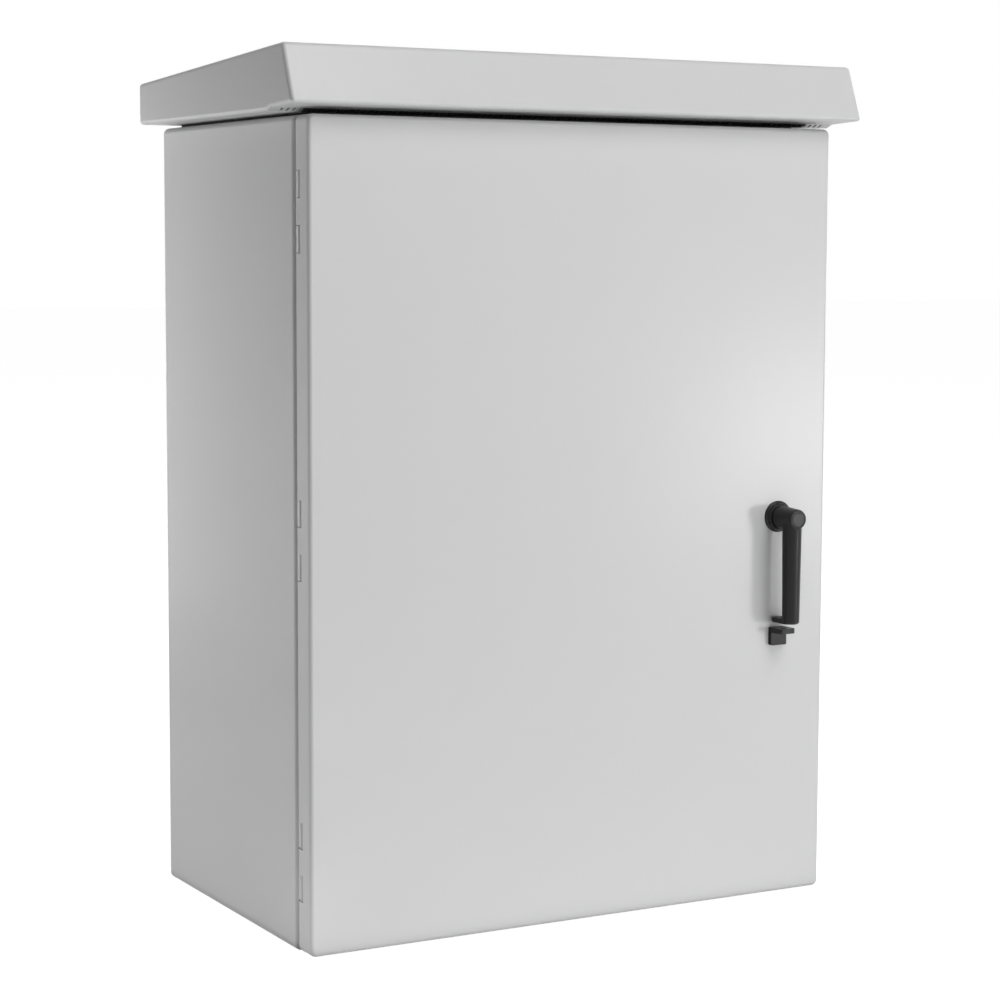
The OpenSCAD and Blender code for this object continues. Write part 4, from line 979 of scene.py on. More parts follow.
@dataclass
class CabinetBody:
    """The welded box: rounded edges all round and a flanged front opening."""

    edge_radius: float = 0.008
    sheet: float = 0.003
    flange: float = 0.023
    bend_steps: int = 6
    wall_hole: float = 0.0055
    anchor_hole: float = 0.007
    hood_hole: float = 0.0045
    bolt_head: float = 0.008
    gland_lap: float = 0.020
    filter_lap: float = 0.012
    intake_bar: float = 0.008
    fan_rim: float = 0.003
    collar_ease: float = 0.0008

    def build(self) -> None:
        """Models the box with its cut-outs, and the weather collar round its opening."""
        low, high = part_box("cabinet_shell")
        box = add_block("body_box", low, high)
        pick(box, Pick.EDGES, everything)
        bevel_picked(self.edge_radius, self.bend_steps)
        pick(box, Pick.FACES, lambda face: face.normal.y < -0.999)
        bpy.ops.mesh.inset(thickness=self.flange - self.edge_radius)
        bpy.ops.mesh.delete(type="FACE")
        bpy.ops.object.mode_set(mode="OBJECT")
        thicken(box, self.sheet)
        combine(box, self.hole_tools(low, high), "DIFFERENCE")
        polish(box)
        settle(box, Body.CABINET, Slot.PAINT, nodes=["cabinet_shell"])
        collar = copy_of_solid("door_collar", "weather_collar")
        ease(collar, self.collar_ease)
        polish(collar)
        settle(collar, Body.CABINET, Slot.PAINT, nodes=["door_collar"])

    def hole_tools(self, low: Vector, high: Vector) -> list[bpy.types.Object]:
        """Makes the tools for the fixing holes and for the openings in floor and roof.

        Args:
            low: The box's lowest corner; not used.
            high: The box's highest corner.

        Returns:
            The tools, one for each hole.
        """
        tools = []
        deep = 3 * self.sheet
        for hole in fixing_holes("wall_holes", (Axis.X, Axis.Z)):
            tools.append(self.drill(hole, Vector((0.0, deep, 0.0)), self.wall_hole))
        for hole in fixing_holes("anchor_holes", (Axis.X, Axis.Y)):
            tools.append(self.drill(hole, Vector((0.0, 0.0, deep)), self.anchor_hole))
        bolt_low, bolt_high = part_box("hood_bolts")
        flat = self.bolt_head * cos(pi / 6)
        for x in (bolt_low.x + self.bolt_head, bolt_high.x - self.bolt_head):
            for y in (bolt_low.y + flat, bolt_high.y - flat):
                tools.append(self.drill(Vector((x, y, high.z)), Vector((0.0, 0.0, deep)),
                                        self.hood_hole))
        fan_low, fan_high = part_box("fan_frame")
        fan = (fan_low + fan_high) / 2
        tools.append(self.drill(Vector((fan.x, fan.y, high.z)), Vector((0.0, 0.0, deep)),
                                (fan_high.x - fan_low.x) / 2 - self.fan_rim))
        lap = Vector((self.gland_lap, self.gland_lap, 0.0))
        gland_low, gland_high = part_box("gland_plate")
        gland = add_block("tool", (*(gland_low + lap).xy, -deep), (*(gland_high - lap).xy, deep))
        pick(gland, Pick.EDGES, lambda edge: runs_along(edge, Axis.Z))
        bevel_picked(self.edge_radius, 5)
        tools.append(gland)
        pad_low, pad_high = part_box("air_filter")
        pad = (pad_low + pad_high) / 2
        count = round((pad_high.x - pad_low.x - 2 * self.filter_lap) / (2 * self.intake_bar))
        half = (pad_high.y - pad_low.y) / 2 - self.filter_lap
        for k in range(count):
            x = pad.x + (k - (count - 1) / 2) * 2 * self.intake_bar
            tools.append(add_block("tool", (x - self.intake_bar / 2, pad.y - half, -deep),
                                   (x + self.intake_bar / 2, pad.y + half, deep)))
        return tools

    @staticmethod
    def drill(centre: Vector, reach: Vector, radius: float) -> bpy.types.Object:
        """Makes the tool for a round hole.

        Args:
            centre: The hole's centre.
            reach: How far the tool goes to each side of the centre.
            radius: The hole's radius.

        Returns:
            The tool.
        """
        return add_round("tool", centre - reach, centre + reach, radius, sides=40)


@dataclass
class RainHood:
    """The folded hood: a top that falls to the rear, a leaning front and a stepped underside."""

    sheet: float = 0.002
    bend: float = 0.005
    bend_steps: int = 5
    rear_height: float = 0.0535
    top_setback: float = 0.028
    lip_rise: float = 0.0067
    vent_rear_y: float = -0.203
    vent_front_y: float = -0.213
    vent_rise: float = 0.004
    # How far inside the door's edges the painted shade on the vent strip stops
    painted_shade_margin: float = 0.012
    exhaust: tuple[float, float] = (0.420, 0.220)
    least_bend: float = 12.0
    least_vent_area: float = 0.004

    def build(self) -> None:
        """Folds the hood from one block and opens its vent strip and its exhaust."""
        low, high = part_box("rain_hood")
        hood = add_block("rain_hood_sheet", low, high)
        shift_picked(hood, lambda v: near(v.co.z, high.z) and near(v.co.y, high.y),
                     (0.0, 0.0, self.rear_height - (high.z - low.z)))
        shift_picked(hood, lambda v: near(v.co.z, high.z), (0.0, self.top_setback, 0.0))
        for y in (self.vent_rear_y, self.vent_front_y):
            pick(hood, Pick.FACES, everything)
            bpy.ops.mesh.bisect(plane_co=(0.0, y, 0.0), plane_no=(0.0, 1.0, 0.0))
            bpy.ops.object.mode_set(mode="OBJECT")
        for y, rise in ((self.vent_front_y, self.vent_rise), (low.y, self.lip_rise)):
            shift_picked(hood, lambda v: near(v.co.z, low.z) and near(v.co.y, y),
                         (0.0, 0.0, rise))
        vent_zone = (self.vent_front_y - 1e-4, self.vent_rear_y + 1e-4)
        under = low.z + self.lip_rise
        least = radians(self.least_bend)
        pick(hood, Pick.EDGES, lambda edge: edge.calc_face_angle(0.0) > least and not (
            runs_along(edge, Axis.X) and edge_middle(edge).z < under
            and vent_zone[0] < edge_middle(edge).y < vent_zone[1]))
        bevel_picked(self.bend, self.bend_steps)
        drop_faces(hood, lambda face: face.normal.z < -0.8
                   and face.calc_area() > self.least_vent_area
                   and vent_zone[0] < face.calc_center_median().y < vent_zone[1])
        thicken(hood, self.sheet)
        fan = middle_of("fan_frame")
        reach = 2 * self.sheet
        outlet = add_block(
            "tool", (fan.x - self.exhaust[0] / 2, fan.y - self.exhaust[1] / 2, low.z - reach),
            (fan.x + self.exhaust[0] / 2, fan.y + self.exhaust[1] / 2, low.z + reach))
        pick(outlet, Pick.EDGES, lambda edge: runs_along(edge, Axis.Z))
        bevel_picked(self.bend, 4)
        combine(hood, [outlet], "DIFFERENCE")
        polish(hood)
        settle(hood, Body.CABINET, Slot.PAINT, nodes=["rain_hood"])
        self.build_vent_painted_shade()

    def build_vent_painted_shade(self) -> None:
        """Blackens the vent strip over the door with the foam finish as painted shade, for the
        shadowed channel between hood and door.
        """
        strip = copy_of_solid("hood_vent_plate", "hood_vent_strip_painted_shade")
        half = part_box("door_panel")[1].x - self.painted_shade_margin
        for x in (-half, half):
            pick(strip, Pick.FACES, everything)
            bpy.ops.mesh.bisect(plane_co=(x, 0.0, 0.0), plane_no=(1.0, 0.0, 0.0))
            bpy.ops.object.mode_set(mode="OBJECT")
        polish(strip)
        settle(strip, Body.CABINET, Slot.PAINT, nodes=["hood_vent_plate"])
        # Painted shade: the strip's faces over the door take the black foam finish, for the shadow
        # in the channel above the door
        paint_faces(strip, FOAM_SEAL, lambda each: abs(each.calc_center_median().x) < half)


@dataclass
class DoorPanel:
    """The door pan: a folded rim with rounded corners, notched for the hinges."""

    sheet: float = 0.003
    corner: float = 0.008
    bend: float = 0.005
    bend_steps: int = 6
    notch_height: float = 0.033
    knuckle_pitch: float = 0.065
    notch_depth: float = 0.011
    notch_room: float = 0.010
    notch_lap: float = 0.001
    pin_half: float = 0.0485
    spindle: float = 0.006
    spindle_reach: float = 0.020

    def build(self) -> None:
        """Folds the pan and cuts the hinge notches and the spindle's hole."""
        low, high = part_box("door_panel")
        pan = add_block("door_pan", low, high)
        pick(pan, Pick.EDGES, lambda edge: runs_along(edge, Axis.Y))
        bevel_picked(self.corner, self.bend_steps)
        pick(pan, Pick.EDGES, lambda edge: all(near(v.co.y, low.y) for v in edge.verts))
        bevel_picked(self.bend, self.bend_steps)
        drop_faces(pan, lambda face: face.normal.y > 0.99)
        thicken(pan, self.sheet)
        handle = middle_of("handle_cap")
        reach = Vector((0.0, self.spindle_reach, 0.0))
        face = Vector((handle.x, low.y, handle.z))
        tools = [add_round("tool", face - reach, face + reach, self.spindle, sides=48)]
        for z in self.hinge_heights():
            for end in (-1, 1):
                middle = z + end * self.knuckle_pitch / 2
                tools.append(add_block(
                    "tool", (low.x - self.notch_room, high.y - self.notch_depth,
                             middle - self.notch_height / 2),
                    (low.x + self.sheet + self.notch_lap, high.y + self.notch_room,
                     middle + self.notch_height / 2)))
        combine(pan, tools, "DIFFERENCE")
        polish(pan)
        settle(pan, Body.DOOR, Slot.PAINT, nodes=["door_panel"])

    def hinge_heights(self) -> tuple[float, float, float]:
        """Gives the heights of the three hinges, from the pins' box."""
        low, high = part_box("hinge_pins")
        middle = (low.z + high.z) / 2
        spread = (high.z - low.z) / 2 - self.pin_half
        return (middle - spread, middle, middle + spread)


@dataclass
class LatchHandle:
    """The moulded handle: a tapering post, a hanging grip, a padlock tab and the cap disc."""

    post_base: float = 0.015
    padlock_reach: float = 0.030
    neck_gap: float = 0.0015
    post_tip: float = 0.013
    grip_top: float = 0.0128
    grip_foot: float = 0.0113
    grip_edge: float = 0.0032
    tab: tuple[float, float] = (0.022, 0.0065)
    tab_corner: float = 0.004
    tab_room: float = 0.003
    padlock: float = 0.0045
    spindle: float = 0.006
    voxel: float = 0.0007
    soften: tuple[float, int] = (0.5, 7)
    rosette_gap: float = 0.0085
    groove: tuple[float, float, float] = (0.0090, 0.0084, 0.0050)
    groove_turn: float = 20.0

    def build(self) -> None:
        """Models the handle as one moulding, its cap and the rosette."""
        low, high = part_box("handle")
        cap_low, cap_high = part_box("handle_cap")
        axis = (cap_low + cap_high) / 2
        face_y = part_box("door_panel")[0].y
        grip_y = cap_high.y + self.grip_top
        post = add_round("lever_handle", (axis.x, face_y - self.rosette_gap, axis.z),
                         (axis.x, cap_high.y, axis.z), self.post_base, self.post_tip)
        grip = add_round("tool", (axis.x, grip_y, low.z), (axis.x, grip_y, axis.z),
                         self.grip_foot, self.grip_top)
        pick(grip, Pick.EDGES, lambda edge: all(near(v.co.z, low.z) for v in edge.verts))
        bevel_picked(self.grip_edge, 5)
        tab = add_block("tool", (axis.x - self.tab[0] / 2, grip_y - self.tab_corner, low.z),
                        (axis.x + self.tab[0] / 2, face_y - self.tab_room, low.z + self.tab[1]))
        pick(tab, Pick.EDGES, lambda edge: runs_along(edge, Axis.Z))
        bevel_picked(self.tab_corner, 5)
        spindle = add_round("tool", (axis.x, face_y - 2 * self.rosette_gap, axis.z),
                            (axis.x, high.y, axis.z), self.spindle, sides=48)
        for part in (grip, tab, spindle):
            combine(post, [part], "UNION")
        lock = frame_mount("padlock")
        reach = Vector((0.0, 0.0, self.padlock_reach))
        hole = Vector((lock.x, lock.y, low.z))
        combine(post, [add_round("tool", hole - reach, hole + reach, self.padlock, sides=48)],
                "DIFFERENCE")
        apply_modifier(post, "REMESH", mode="VOXEL", voxel_size=self.voxel,
                       use_smooth_shade=True)
        factor, iterations = self.soften
        apply_modifier(post, "SMOOTH", factor=factor, iterations=iterations)
        settle(post, Body.HANDLE, Slot.BLACK, nodes=["handle"])
        self.build_cap(axis, cap_low, cap_high)
        self.build_rosette(axis, face_y)

    def build_cap(self, axis: Vector, low: Vector, high: Vector) -> None:
        """Turns the disc that closes the post, with a shallow ring near its edge.

        Args:
            axis: The middle of the disc.
            low: The lowest corner of the disc's solid.
            high: The highest corner of the disc's solid.
        """
        rim = (high.x - low.x) / 2
        thick = high.y - low.y
        cap = turn_profile("handle_cap_disc", (axis.x, high.y, axis.z), [
            (0.0, rim), (0.7 * thick, rim), (thick, rim - 0.0005), (thick, rim - 0.0022),
            (0.55 * thick, rim - 0.0026), (0.55 * thick, rim - 0.0031), (thick, rim - 0.0035),
            (thick, 0.0015)])
        polish(cap, 50.0)
        settle(cap, Body.HANDLE, Slot.BLACK, nodes=["handle_cap"])

    def build_rosette(self, axis: Vector, face_y: float) -> None:
        """Turns the dished ring behind the post and cuts its four short grooves.

        Args:
            axis: The handle's axis.
            face_y: The door's outer face.
        """
        low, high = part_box("handle_rosette")
        rim = (high.x - low.x) / 2
        rise = high.y - low.y
        neck = self.post_base + self.neck_gap
        ring = turn_profile("rosette_ring", (axis.x, face_y, axis.z), [
            (0.0, rim), (0.0016, rim), (0.0024, rim - 0.0008), (0.0026, rim - 0.0016),
            (0.45 * rise, rim - 0.0024), (0.8 * rise, neck + 0.0008), (0.95 * rise, neck),
            (rise, neck - 0.0006), (rise, neck - 0.0016), (rise - 0.0012, neck - 0.0020),
            (rise - 0.0015, 0.0061)])
        half = Vector(self.groove) / 2
        tools = []
        for turn in range(4):
            angle = radians(self.groove_turn + 90.0 * turn)
            middle = Vector((axis.x + cos(angle) * (neck + half.x), face_y - rise,
                             axis.z + sin(angle) * (neck + half.x)))
            notch = add_block("tool", -half, half)
            ease(notch, 0.0008, 2)
            notch.matrix_world = Matrix.Translation(middle) @ Matrix.Rotation(-angle, 4, "Y")
            take_up(notch)
            bpy.ops.object.transform_apply(location=True, rotation=True, scale=True)
            tools.append(notch)
        combine(ring, tools, "DIFFERENCE")
        ease(ring, 0.00035, 2, 45.0)
        polish(ring, 50.0)
        settle(ring, Body.DOOR, Slot.BLACK, nodes=["handle_rosette"])


@dataclass
class HaspBracket:
    """The padlock hasp below the handle: a plate on the door and a tab with a hole."""

    plate: float = 0.007
    tab: float = 0.0065
    tab_room: float = 0.001
    corner: float = 0.004
    padlock: float = 0.0045
    edge: float = 0.0009

    def build(self) -> None:
        """Models the bracket with a rounded tab and eased edges."""
        low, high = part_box("hasp_bracket")
        plate = add_block("hasp_plate", (low.x, high.y - self.plate, low.z), high)
        pick(plate, Pick.EDGES, lambda edge: runs_along(edge, Axis.Y))
        bevel_picked(0.4 * self.corner, 4)
        tab = add_block("tool", (low.x, low.y, high.z - self.tab),
                        (high.x, high.y - self.tab_room, high.z))
        pick(tab, Pick.EDGES, lambda edge: runs_along(edge, Axis.Z)
             and near(edge_middle(edge).y, low.y))
        bevel_picked(self.corner, 6)
        combine(plate, [tab], "UNION")
        lock = frame_mount("padlock")
        combine(plate, [add_round("tool", (lock.x, lock.y, high.z - 2 * self.tab),
                                  (lock.x, lock.y, high.z + self.tab), self.padlock, sides=48)],
                "DIFFERENCE")
        ease(plate, self.edge, 3)
        polish(plate)
        settle(plate, Body.DOOR, Slot.BLACK, nodes=["hasp_bracket"])


@dataclass
class Hinges:
    """The three hinges: knuckles on the body and on the door, with their pins."""

    ease_width: float = 0.0005

    def build(self) -> None:
        """Eases the knuckles' edges."""
        EasedNode("hinge_body_knuckles", Body.CABINET, self.ease_width).build()
        EasedNode("hinge_door_knuckles", Body.DOOR, self.ease_width).build()


@dataclass
class SeamShadeStrip:
    """A black strip on the body's front edge, put in as painted shade: it darkens the seam behind
    the door's rim.
    """

    inset: float = 0.003
    width: float = 0.009
    bed: float = 0.0055
    proud: float = 0.0022
    corner: float = 0.005
    edge: float = 0.0004

    def build(self) -> None:
        """Models the strip as a frame with rounded corners."""
        low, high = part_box("cabinet_shell")
        front, back = low.y - self.proud, low.y + self.bed
        inner = self.inset + self.width
        strip = add_block("seam_shade_strip", (low.x + self.inset, front, low.z + self.inset),
                          (high.x - self.inset, back, high.z - self.inset))
        pick(strip, Pick.EDGES, lambda each: runs_along(each, Axis.Y))
        bevel_picked(self.corner, 5)
        hole = add_block("tool", (low.x + inner, front - self.proud, low.z + inner),
                         (high.x - inner, back + self.bed, high.z - inner))
        combine(strip, [hole], "DIFFERENCE")
        ease(strip, self.edge)
        polish(strip)
        # Painted shade: the strip's black foam finish stands for the shadow in the seam
        settle(strip, Body.CABINET, Slot.SEAL)


@dataclass
class DoorInside:
    """What the door carries on its inner face."""

    sheet_ease: float = 0.0006
    foam_ease: float = 0.0028

    def build(self) -> None:
        """Eases the seal, the stiffeners, the pocket, the guides and the latch gear."""
        EasedNode("door_gasket", Body.DOOR, self.foam_ease, 3).build()
        EasedNode("door_stiffeners", Body.DOOR, self.sheet_ease).build()
        EasedNode("document_pocket", Body.DOOR, self.sheet_ease).build()
        EasedNode("rod_guides", Body.DOOR, self.sheet_ease).build()
        EasedNode("latch_cam", Body.HANDLE, self.sheet_ease).build()
        EasedNode("upper_rod", Body.UPPER_ROD, self.sheet_ease).build()
        EasedNode("lower_rod", Body.LOWER_ROD, self.sheet_ease).build()


@dataclass
class ShelfEquipment:
    """The controller, the conflict monitor, the detector rack and the power supply."""

    case_ease: float = 0.0012
    plate_ease: float = 0.0006
    key_ease: float = 0.0005
    plug_ease: float = 0.0004
    card_ease: float = 0.0003
    face_plate: float = 0.003
    face_proud: float = 0.0003
    keypad_share: float = 0.25
    plug_depth: float = 0.009
    plug_rim: float = 0.0045
    lamp_pitch: float = 0.012
    lamp_offset: float = 0.020
    lamp_room: float = 0.004
    card_front: float = 0.0021
    post_length: float = 0.010

    def build(self) -> None:
        """Dresses the shelves' equipment."""
        for shelf in ("upper_shelf", "lower_shelf", "equipment_rails"):
            EasedNode(shelf, Body.CABINET, self.plate_ease).build()
        EasedNode("controller_case", Body.CABINET, self.case_ease).build()
        EasedNode("monitor_case", Body.CABINET, self.case_ease).build()
        EasedNode("detector_rack", Body.CABINET, self.plate_ease).build()
        self.build_controller()
        self.build_monitor()
        self.build_cards()
        self.build_supply()

    def build_controller(self) -> None:
        """Dresses the controller's face, keys and connectors."""
        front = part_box("controller_case")[0].y - self.face_plate
        face = EasedNode("controller_face", Body.CABINET, self.plate_ease).build()
        paint_faces(face, MILL_ALUMINIUM,
                    lambda each: each.calc_center_median().y < front - self.face_proud)
        keys = EasedNode("controller_keypad", Body.CABINET, self.key_ease).build()
        low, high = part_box("controller_keypad")
        side = self.keypad_share * (high.x - low.x)
        paint_faces(keys, DARK_MOULDING, lambda each: each.calc_center_median().x > high.x - side)
        plugs = EasedNode("controller_connectors", Body.CABINET, self.plug_ease).build()
        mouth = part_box("controller_connectors")[0].y
        paint_faces(plugs, DARK_MOULDING, lambda each: each.normal.y < -0.9
                    and mouth + self.plug_depth < each.calc_center_median().y
                    < front - self.plug_rim)

    def build_monitor(self) -> None:
        """Dresses the monitor's face and colours its three columns of lamps."""
        face = EasedNode("monitor_face", Body.CABINET, self.card_ease).build()
        middle = middle_of("monitor_face").x - self.lamp_offset
        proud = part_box("monitor_case")[0].y - self.face_plate - self.face_proud
        for column, lens in ((-1, RED_LENS), (0, AMBER_LENS), (1, GREEN_LENS)):
            x = middle + column * self.lamp_pitch
            paint_faces(face, lens, lambda each: each.calc_center_median().y < proud
                        and near(each.calc_center_median().x, x, self.lamp_room))

    def build_cards(self) -> None:
        """Dresses the detector cards: plain fronts, dark pulls and green boards."""
        cards = EasedNode("detector_cards", Body.CABINET, self.card_ease).build()
        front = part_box("detector_rack")[0].y
        back = front + self.card_front
        paint_faces(cards, MILL_ALUMINIUM,
                    lambda each: front - self.face_proud < each.calc_center_median().y < back)
        paint_faces(cards, CIRCUIT_BOARD, lambda each: each.calc_center_median().y > back)

    def build_supply(self) -> None:
        """Dresses the power supply, with dark posts on its face."""
        supply = EasedNode("power_supply", Body.CABINET, self.plate_ease).build()
        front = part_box("power_supply")[0].y + self.post_length
        paint_faces(supply, DARK_MOULDING,
                    lambda each: each.calc_center_median().y < front - self.face_proud)


@dataclass
class BackPanelGear:
    """The back panel with its load bay, relays and field terminals."""

    block_ease: float = 0.0008
    relay_ease: float = 0.0012
    switch_ease: float = 0.0004
    strip_ease: float = 0.0003
    rail_drop: float = 0.022
    lens_rise: tuple[float, float] = (0.0012, 0.0002)
    lens_drop: float = 0.018
    lens_pitch: float = 0.004
    lens_room: float = 0.0019
    poles: int = 28
    strip_ends: float = 0.010
    screw: float = 0.0045
    screw_rise: float = 0.0002

    def build(self) -> None:
        """Dresses the back panel's gear."""
        EasedNode("back_panel", Body.CABINET, self.block_ease).build()
        EasedNode("load_bay", Body.CABINET, self.block_ease).build()
        EasedNode("flasher", Body.CABINET, self.block_ease).build()
        EasedNode("transfer_relays", Body.CABINET, self.relay_ease).build()
        self.build_switches()
        self.build_terminals()

    def build_switches(self) -> None:
        """Dresses the load switches with dark bails and a lamp of each colour."""
        switches = EasedNode("load_switches", Body.CABINET, self.switch_ease).build()
        low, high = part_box("load_switches")
        front = low.y + self.rail_drop
        proud, seat = (front - rise for rise in self.lens_rise)
        paint_faces(switches, DARK_MOULDING, lambda each: each.calc_center_median().y < proud)
        for row, lens in enumerate((GREEN_LENS, AMBER_LENS, RED_LENS)):
            z = high.z - self.lens_drop + row * self.lens_pitch
            paint_faces(switches, lens, lambda each: proud < each.calc_center_median().y < seat
                        and near(each.calc_center_median().z, z, self.lens_room))

    def build_terminals(self) -> None:
        """Dresses the terminal strips with plated screws."""
        strips = EasedNode("field_terminals", Body.CABINET, self.strip_ease).build()
        low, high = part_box("field_terminals")
        floor = (low.y + high.y) / 2
        pitch = (high.x - low.x - self.strip_ends) / self.poles
        middle = (low.x + high.x) / 2

        def on_screw(each: bmesh.types.BMFace) -> bool:
            """Says whether a face belongs to one of the screws."""
            place = each.calc_center_median()
            pole = round((place.x - middle) / pitch - 0.5) + 0.5
            return (place.y < floor - self.screw_rise
                    and near(place.x - middle, pole * pitch, self.screw))

        paint_faces(strips, ZINC_PLATE, on_screw)


@dataclass
class PowerAndCooling:
    """The power panel on the side, the fan in the roof and the lamp behind the door."""

    block_ease: float = 0.0010
    plate_ease: float = 0.0005
    fan_ease: float = 0.0006
    bar_ease: float = 0.0004
    light_ease: float = 0.0008
    lens_length: float = 0.0097
    screw_rise: float = 0.0030
    light_base: float = 0.0142

    def build(self) -> None:
        """Dresses the power panel, the fan and the lamp."""
        EasedNode("power_panel", Body.CABINET, self.plate_ease).build()
        EasedNode("breaker_bodies", Body.CABINET, self.block_ease).build()
        EasedNode("gland_plate", Body.CABINET, self.plate_ease).build()
        EasedNode("fan_frame", Body.CABINET, self.fan_ease).build()
        EasedNode("fan_control", Body.CABINET, self.block_ease).build()
        EasedNode("control_dial", Body.DIAL, self.fan_ease).build()
        arrester = EasedNode("surge_arrester", Body.CABINET, self.block_ease).build()
        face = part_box("surge_arrester")[0].x + self.lens_length
        paint_faces(arrester, GREEN_LENS, lambda each: each.calc_center_median().x < face)
        bars = EasedNode("bus_bars", Body.CABINET, self.bar_ease).build()
        bar_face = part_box("bus_bars")[0].x + self.screw_rise
        paint_faces(bars, ZINC_PLATE, lambda each: each.calc_center_median().x < bar_face)
        lamp = EasedNode("cabinet_light", Body.CABINET, self.light_ease).build()
        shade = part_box("cabinet_light")[1].z - self.light_base
        paint_faces(lamp, LIGHT_DIFFUSER, lambda each: each.calc_center_median().z < shade)


@dataclass
class PanelScrews:
    """Cross-head screws that hold the plates and faces, modelled once and copied."""

    head: float = 0.0042
    rise: float = 0.0024
    recess: tuple[float, float] = (0.0044, 0.0010)
    edge_room: float = 0.010
    standoff_room: float = 0.030
    ear: float = 0.007
    face_plate: float = 0.003
    guide_foot: float = 0.003
    guide_reach: tuple[float, float] = (0.140, 0.400)
    guide_rise: float = 0.013
    bed: float = 0.0005

    def build(self) -> None:
        """Models the screw and places its copies on the cabinet and on the door."""
        master = self.build_master()
        places = list(self.face_places()) + list(self.floor_places()) + list(self.side_places())
        fixed = [self.place_copy(master, *place) for place in places]
        settle(join(fixed, "panel_screws"), Body.CABINET, Slot.ZINC)
        guides = [self.place_copy(master, *place) for place in self.guide_places()]
        settle(join(guides, "guide_screws"), Body.DOOR, Slot.ZINC)
        bpy.data.objects.remove(master, do_unlink=True)

    def build_master(self) -> bpy.types.Object:
        """Turns a pan head that faces the front and cuts its cross recess.

        Returns:
            The screw, at the origin.
        """
        screw = turn_profile("screw_head", (0.0, 0.0, 0.0), [
            (-self.bed, self.head), (0.35 * self.rise, self.head),
            (0.75 * self.rise, 0.86 * self.head), (self.rise, 0.58 * self.head),
            (1.05 * self.rise, 0.2 * self.head)], sides=24)
        long, thin = self.recess
        for size in ((long, thin), (thin, long)):
            slot = add_block("tool", (-size[0] / 2, -2 * self.rise, -size[1] / 2),
                             (size[0] / 2, -0.35 * self.rise, size[1] / 2))
            combine(screw, [slot], "DIFFERENCE")
        polish(screw, 35.0)
        return screw

    @staticmethod
    def place_copy(master: bpy.types.Object, place: Vector, turn: Matrix) -> bpy.types.Object:
        """Copies the screw to a place.

        Args:
            master: The screw at the origin.
            place: The middle of the head's seat.
            turn: The turn from facing the front.

        Returns:
            The copy, with its place applied to its mesh.
        """
        copy = bpy.data.objects.new("screw_copy", master.data.copy())
        bpy.context.scene.collection.objects.link(copy)
        copy.matrix_world = Matrix.Translation(place) @ turn
        take_up(copy)
        bpy.ops.object.transform_apply(location=True, rotation=True, scale=True)
        return copy

    def face_places(self) -> Iterable[tuple[Vector, Matrix]]:
        """Gives the screws that face the front: the back panel's and the controller's."""
        low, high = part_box("back_panel")
        for x in (low.x + self.standoff_room, (low.x + high.x) / 2, high.x - self.standoff_room):
            for z in (low.z + self.standoff_room, high.z - self.standoff_room):
                yield Vector((x, low.y, z)), Matrix.Rotation(x, 4, "Y")
        low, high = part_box("controller_face")
        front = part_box("controller_case")[0].y - self.face_plate
        for x in (low.x + self.ear, high.x - self.ear):
            for z in (low.z + 2 * self.edge_room, high.z - 2 * self.edge_room):
                yield Vector((x, front, z)), Matrix.Rotation(2.0 * z, 4, "Y")

    def floor_places(self) -> Iterable[tuple[Vector, Matrix]]:
        """Gives the gland plate's screws, which face up."""
        low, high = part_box("gland_plate")
        turn = Matrix.Rotation(-pi / 2, 4, "X")
        for x in (low.x + self.edge_room, (low.x + high.x) / 2, high.x - self.edge_room):
            for y in (low.y + self.edge_room, high.y - self.edge_room):
                yield Vector((x, y, high.z)), turn @ Matrix.Rotation(9.0 * x, 4, "Y")

    def side_places(self) -> Iterable[tuple[Vector, Matrix]]:
        """Gives the power panel's screws, which face the middle of the cabinet."""
        low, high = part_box("power_panel")
        turn = Matrix.Rotation(-pi / 2, 4, "Z")
        for y in (low.y + self.edge_room, high.y - self.edge_room):
            for z in (low.z + self.edge_room, high.z - self.edge_room):
                yield Vector((low.x, y, z)), turn @ Matrix.Rotation(5.0 * z, 4, "Y")

    def guide_places(self) -> Iterable[tuple[Vector, Matrix]]:
        """Gives the screws in the rod guides' feet, which face into the cabinet."""
        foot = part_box("rod_guides")[0].y + self.guide_foot
        turn = Matrix.Rotation(pi, 4, "Z")
        handle = middle_of("handle_cap")
        upper, lower = middle_of("upper_rod").x, middle_of("lower_rod").x
        for rod_x, sign in ((upper, 1), (lower, -1)):
            for reach in self.guide_reach:
                for side in (-1, 1):
                    yield Vector((rod_x + side * self.edge_room, foot,
                                  handle.z + sign * reach + self.guide_rise)), turn


@dataclass(frozen=True)
class Lamp:
    """A softbox that faces the object."""

    name: str
    place: tuple[float, float, float]
    power: float
    size: tuple[float, float]
    aim: tuple[float, float, float] = (0.0, -0.05, 0.55)

    def build(self) -> None:
        """Adds the lamp to the scene, out of the camera's sight."""
        data = bpy.data.lights.new(self.name, "AREA")
        data.shape = "RECTANGLE"
        data.energy = self.power
        data.size, data.size_y = self.size
        lamp = bpy.data.objects.new(self.name, data)
        bpy.context.scene.collection.objects.link(lamp)
        lamp.location = self.place
        look = Vector(self.aim) - Vector(self.place)
        lamp.rotation_euler = look.to_track_quat("-Z", "Y").to_euler()
        lamp.visible_camera = False


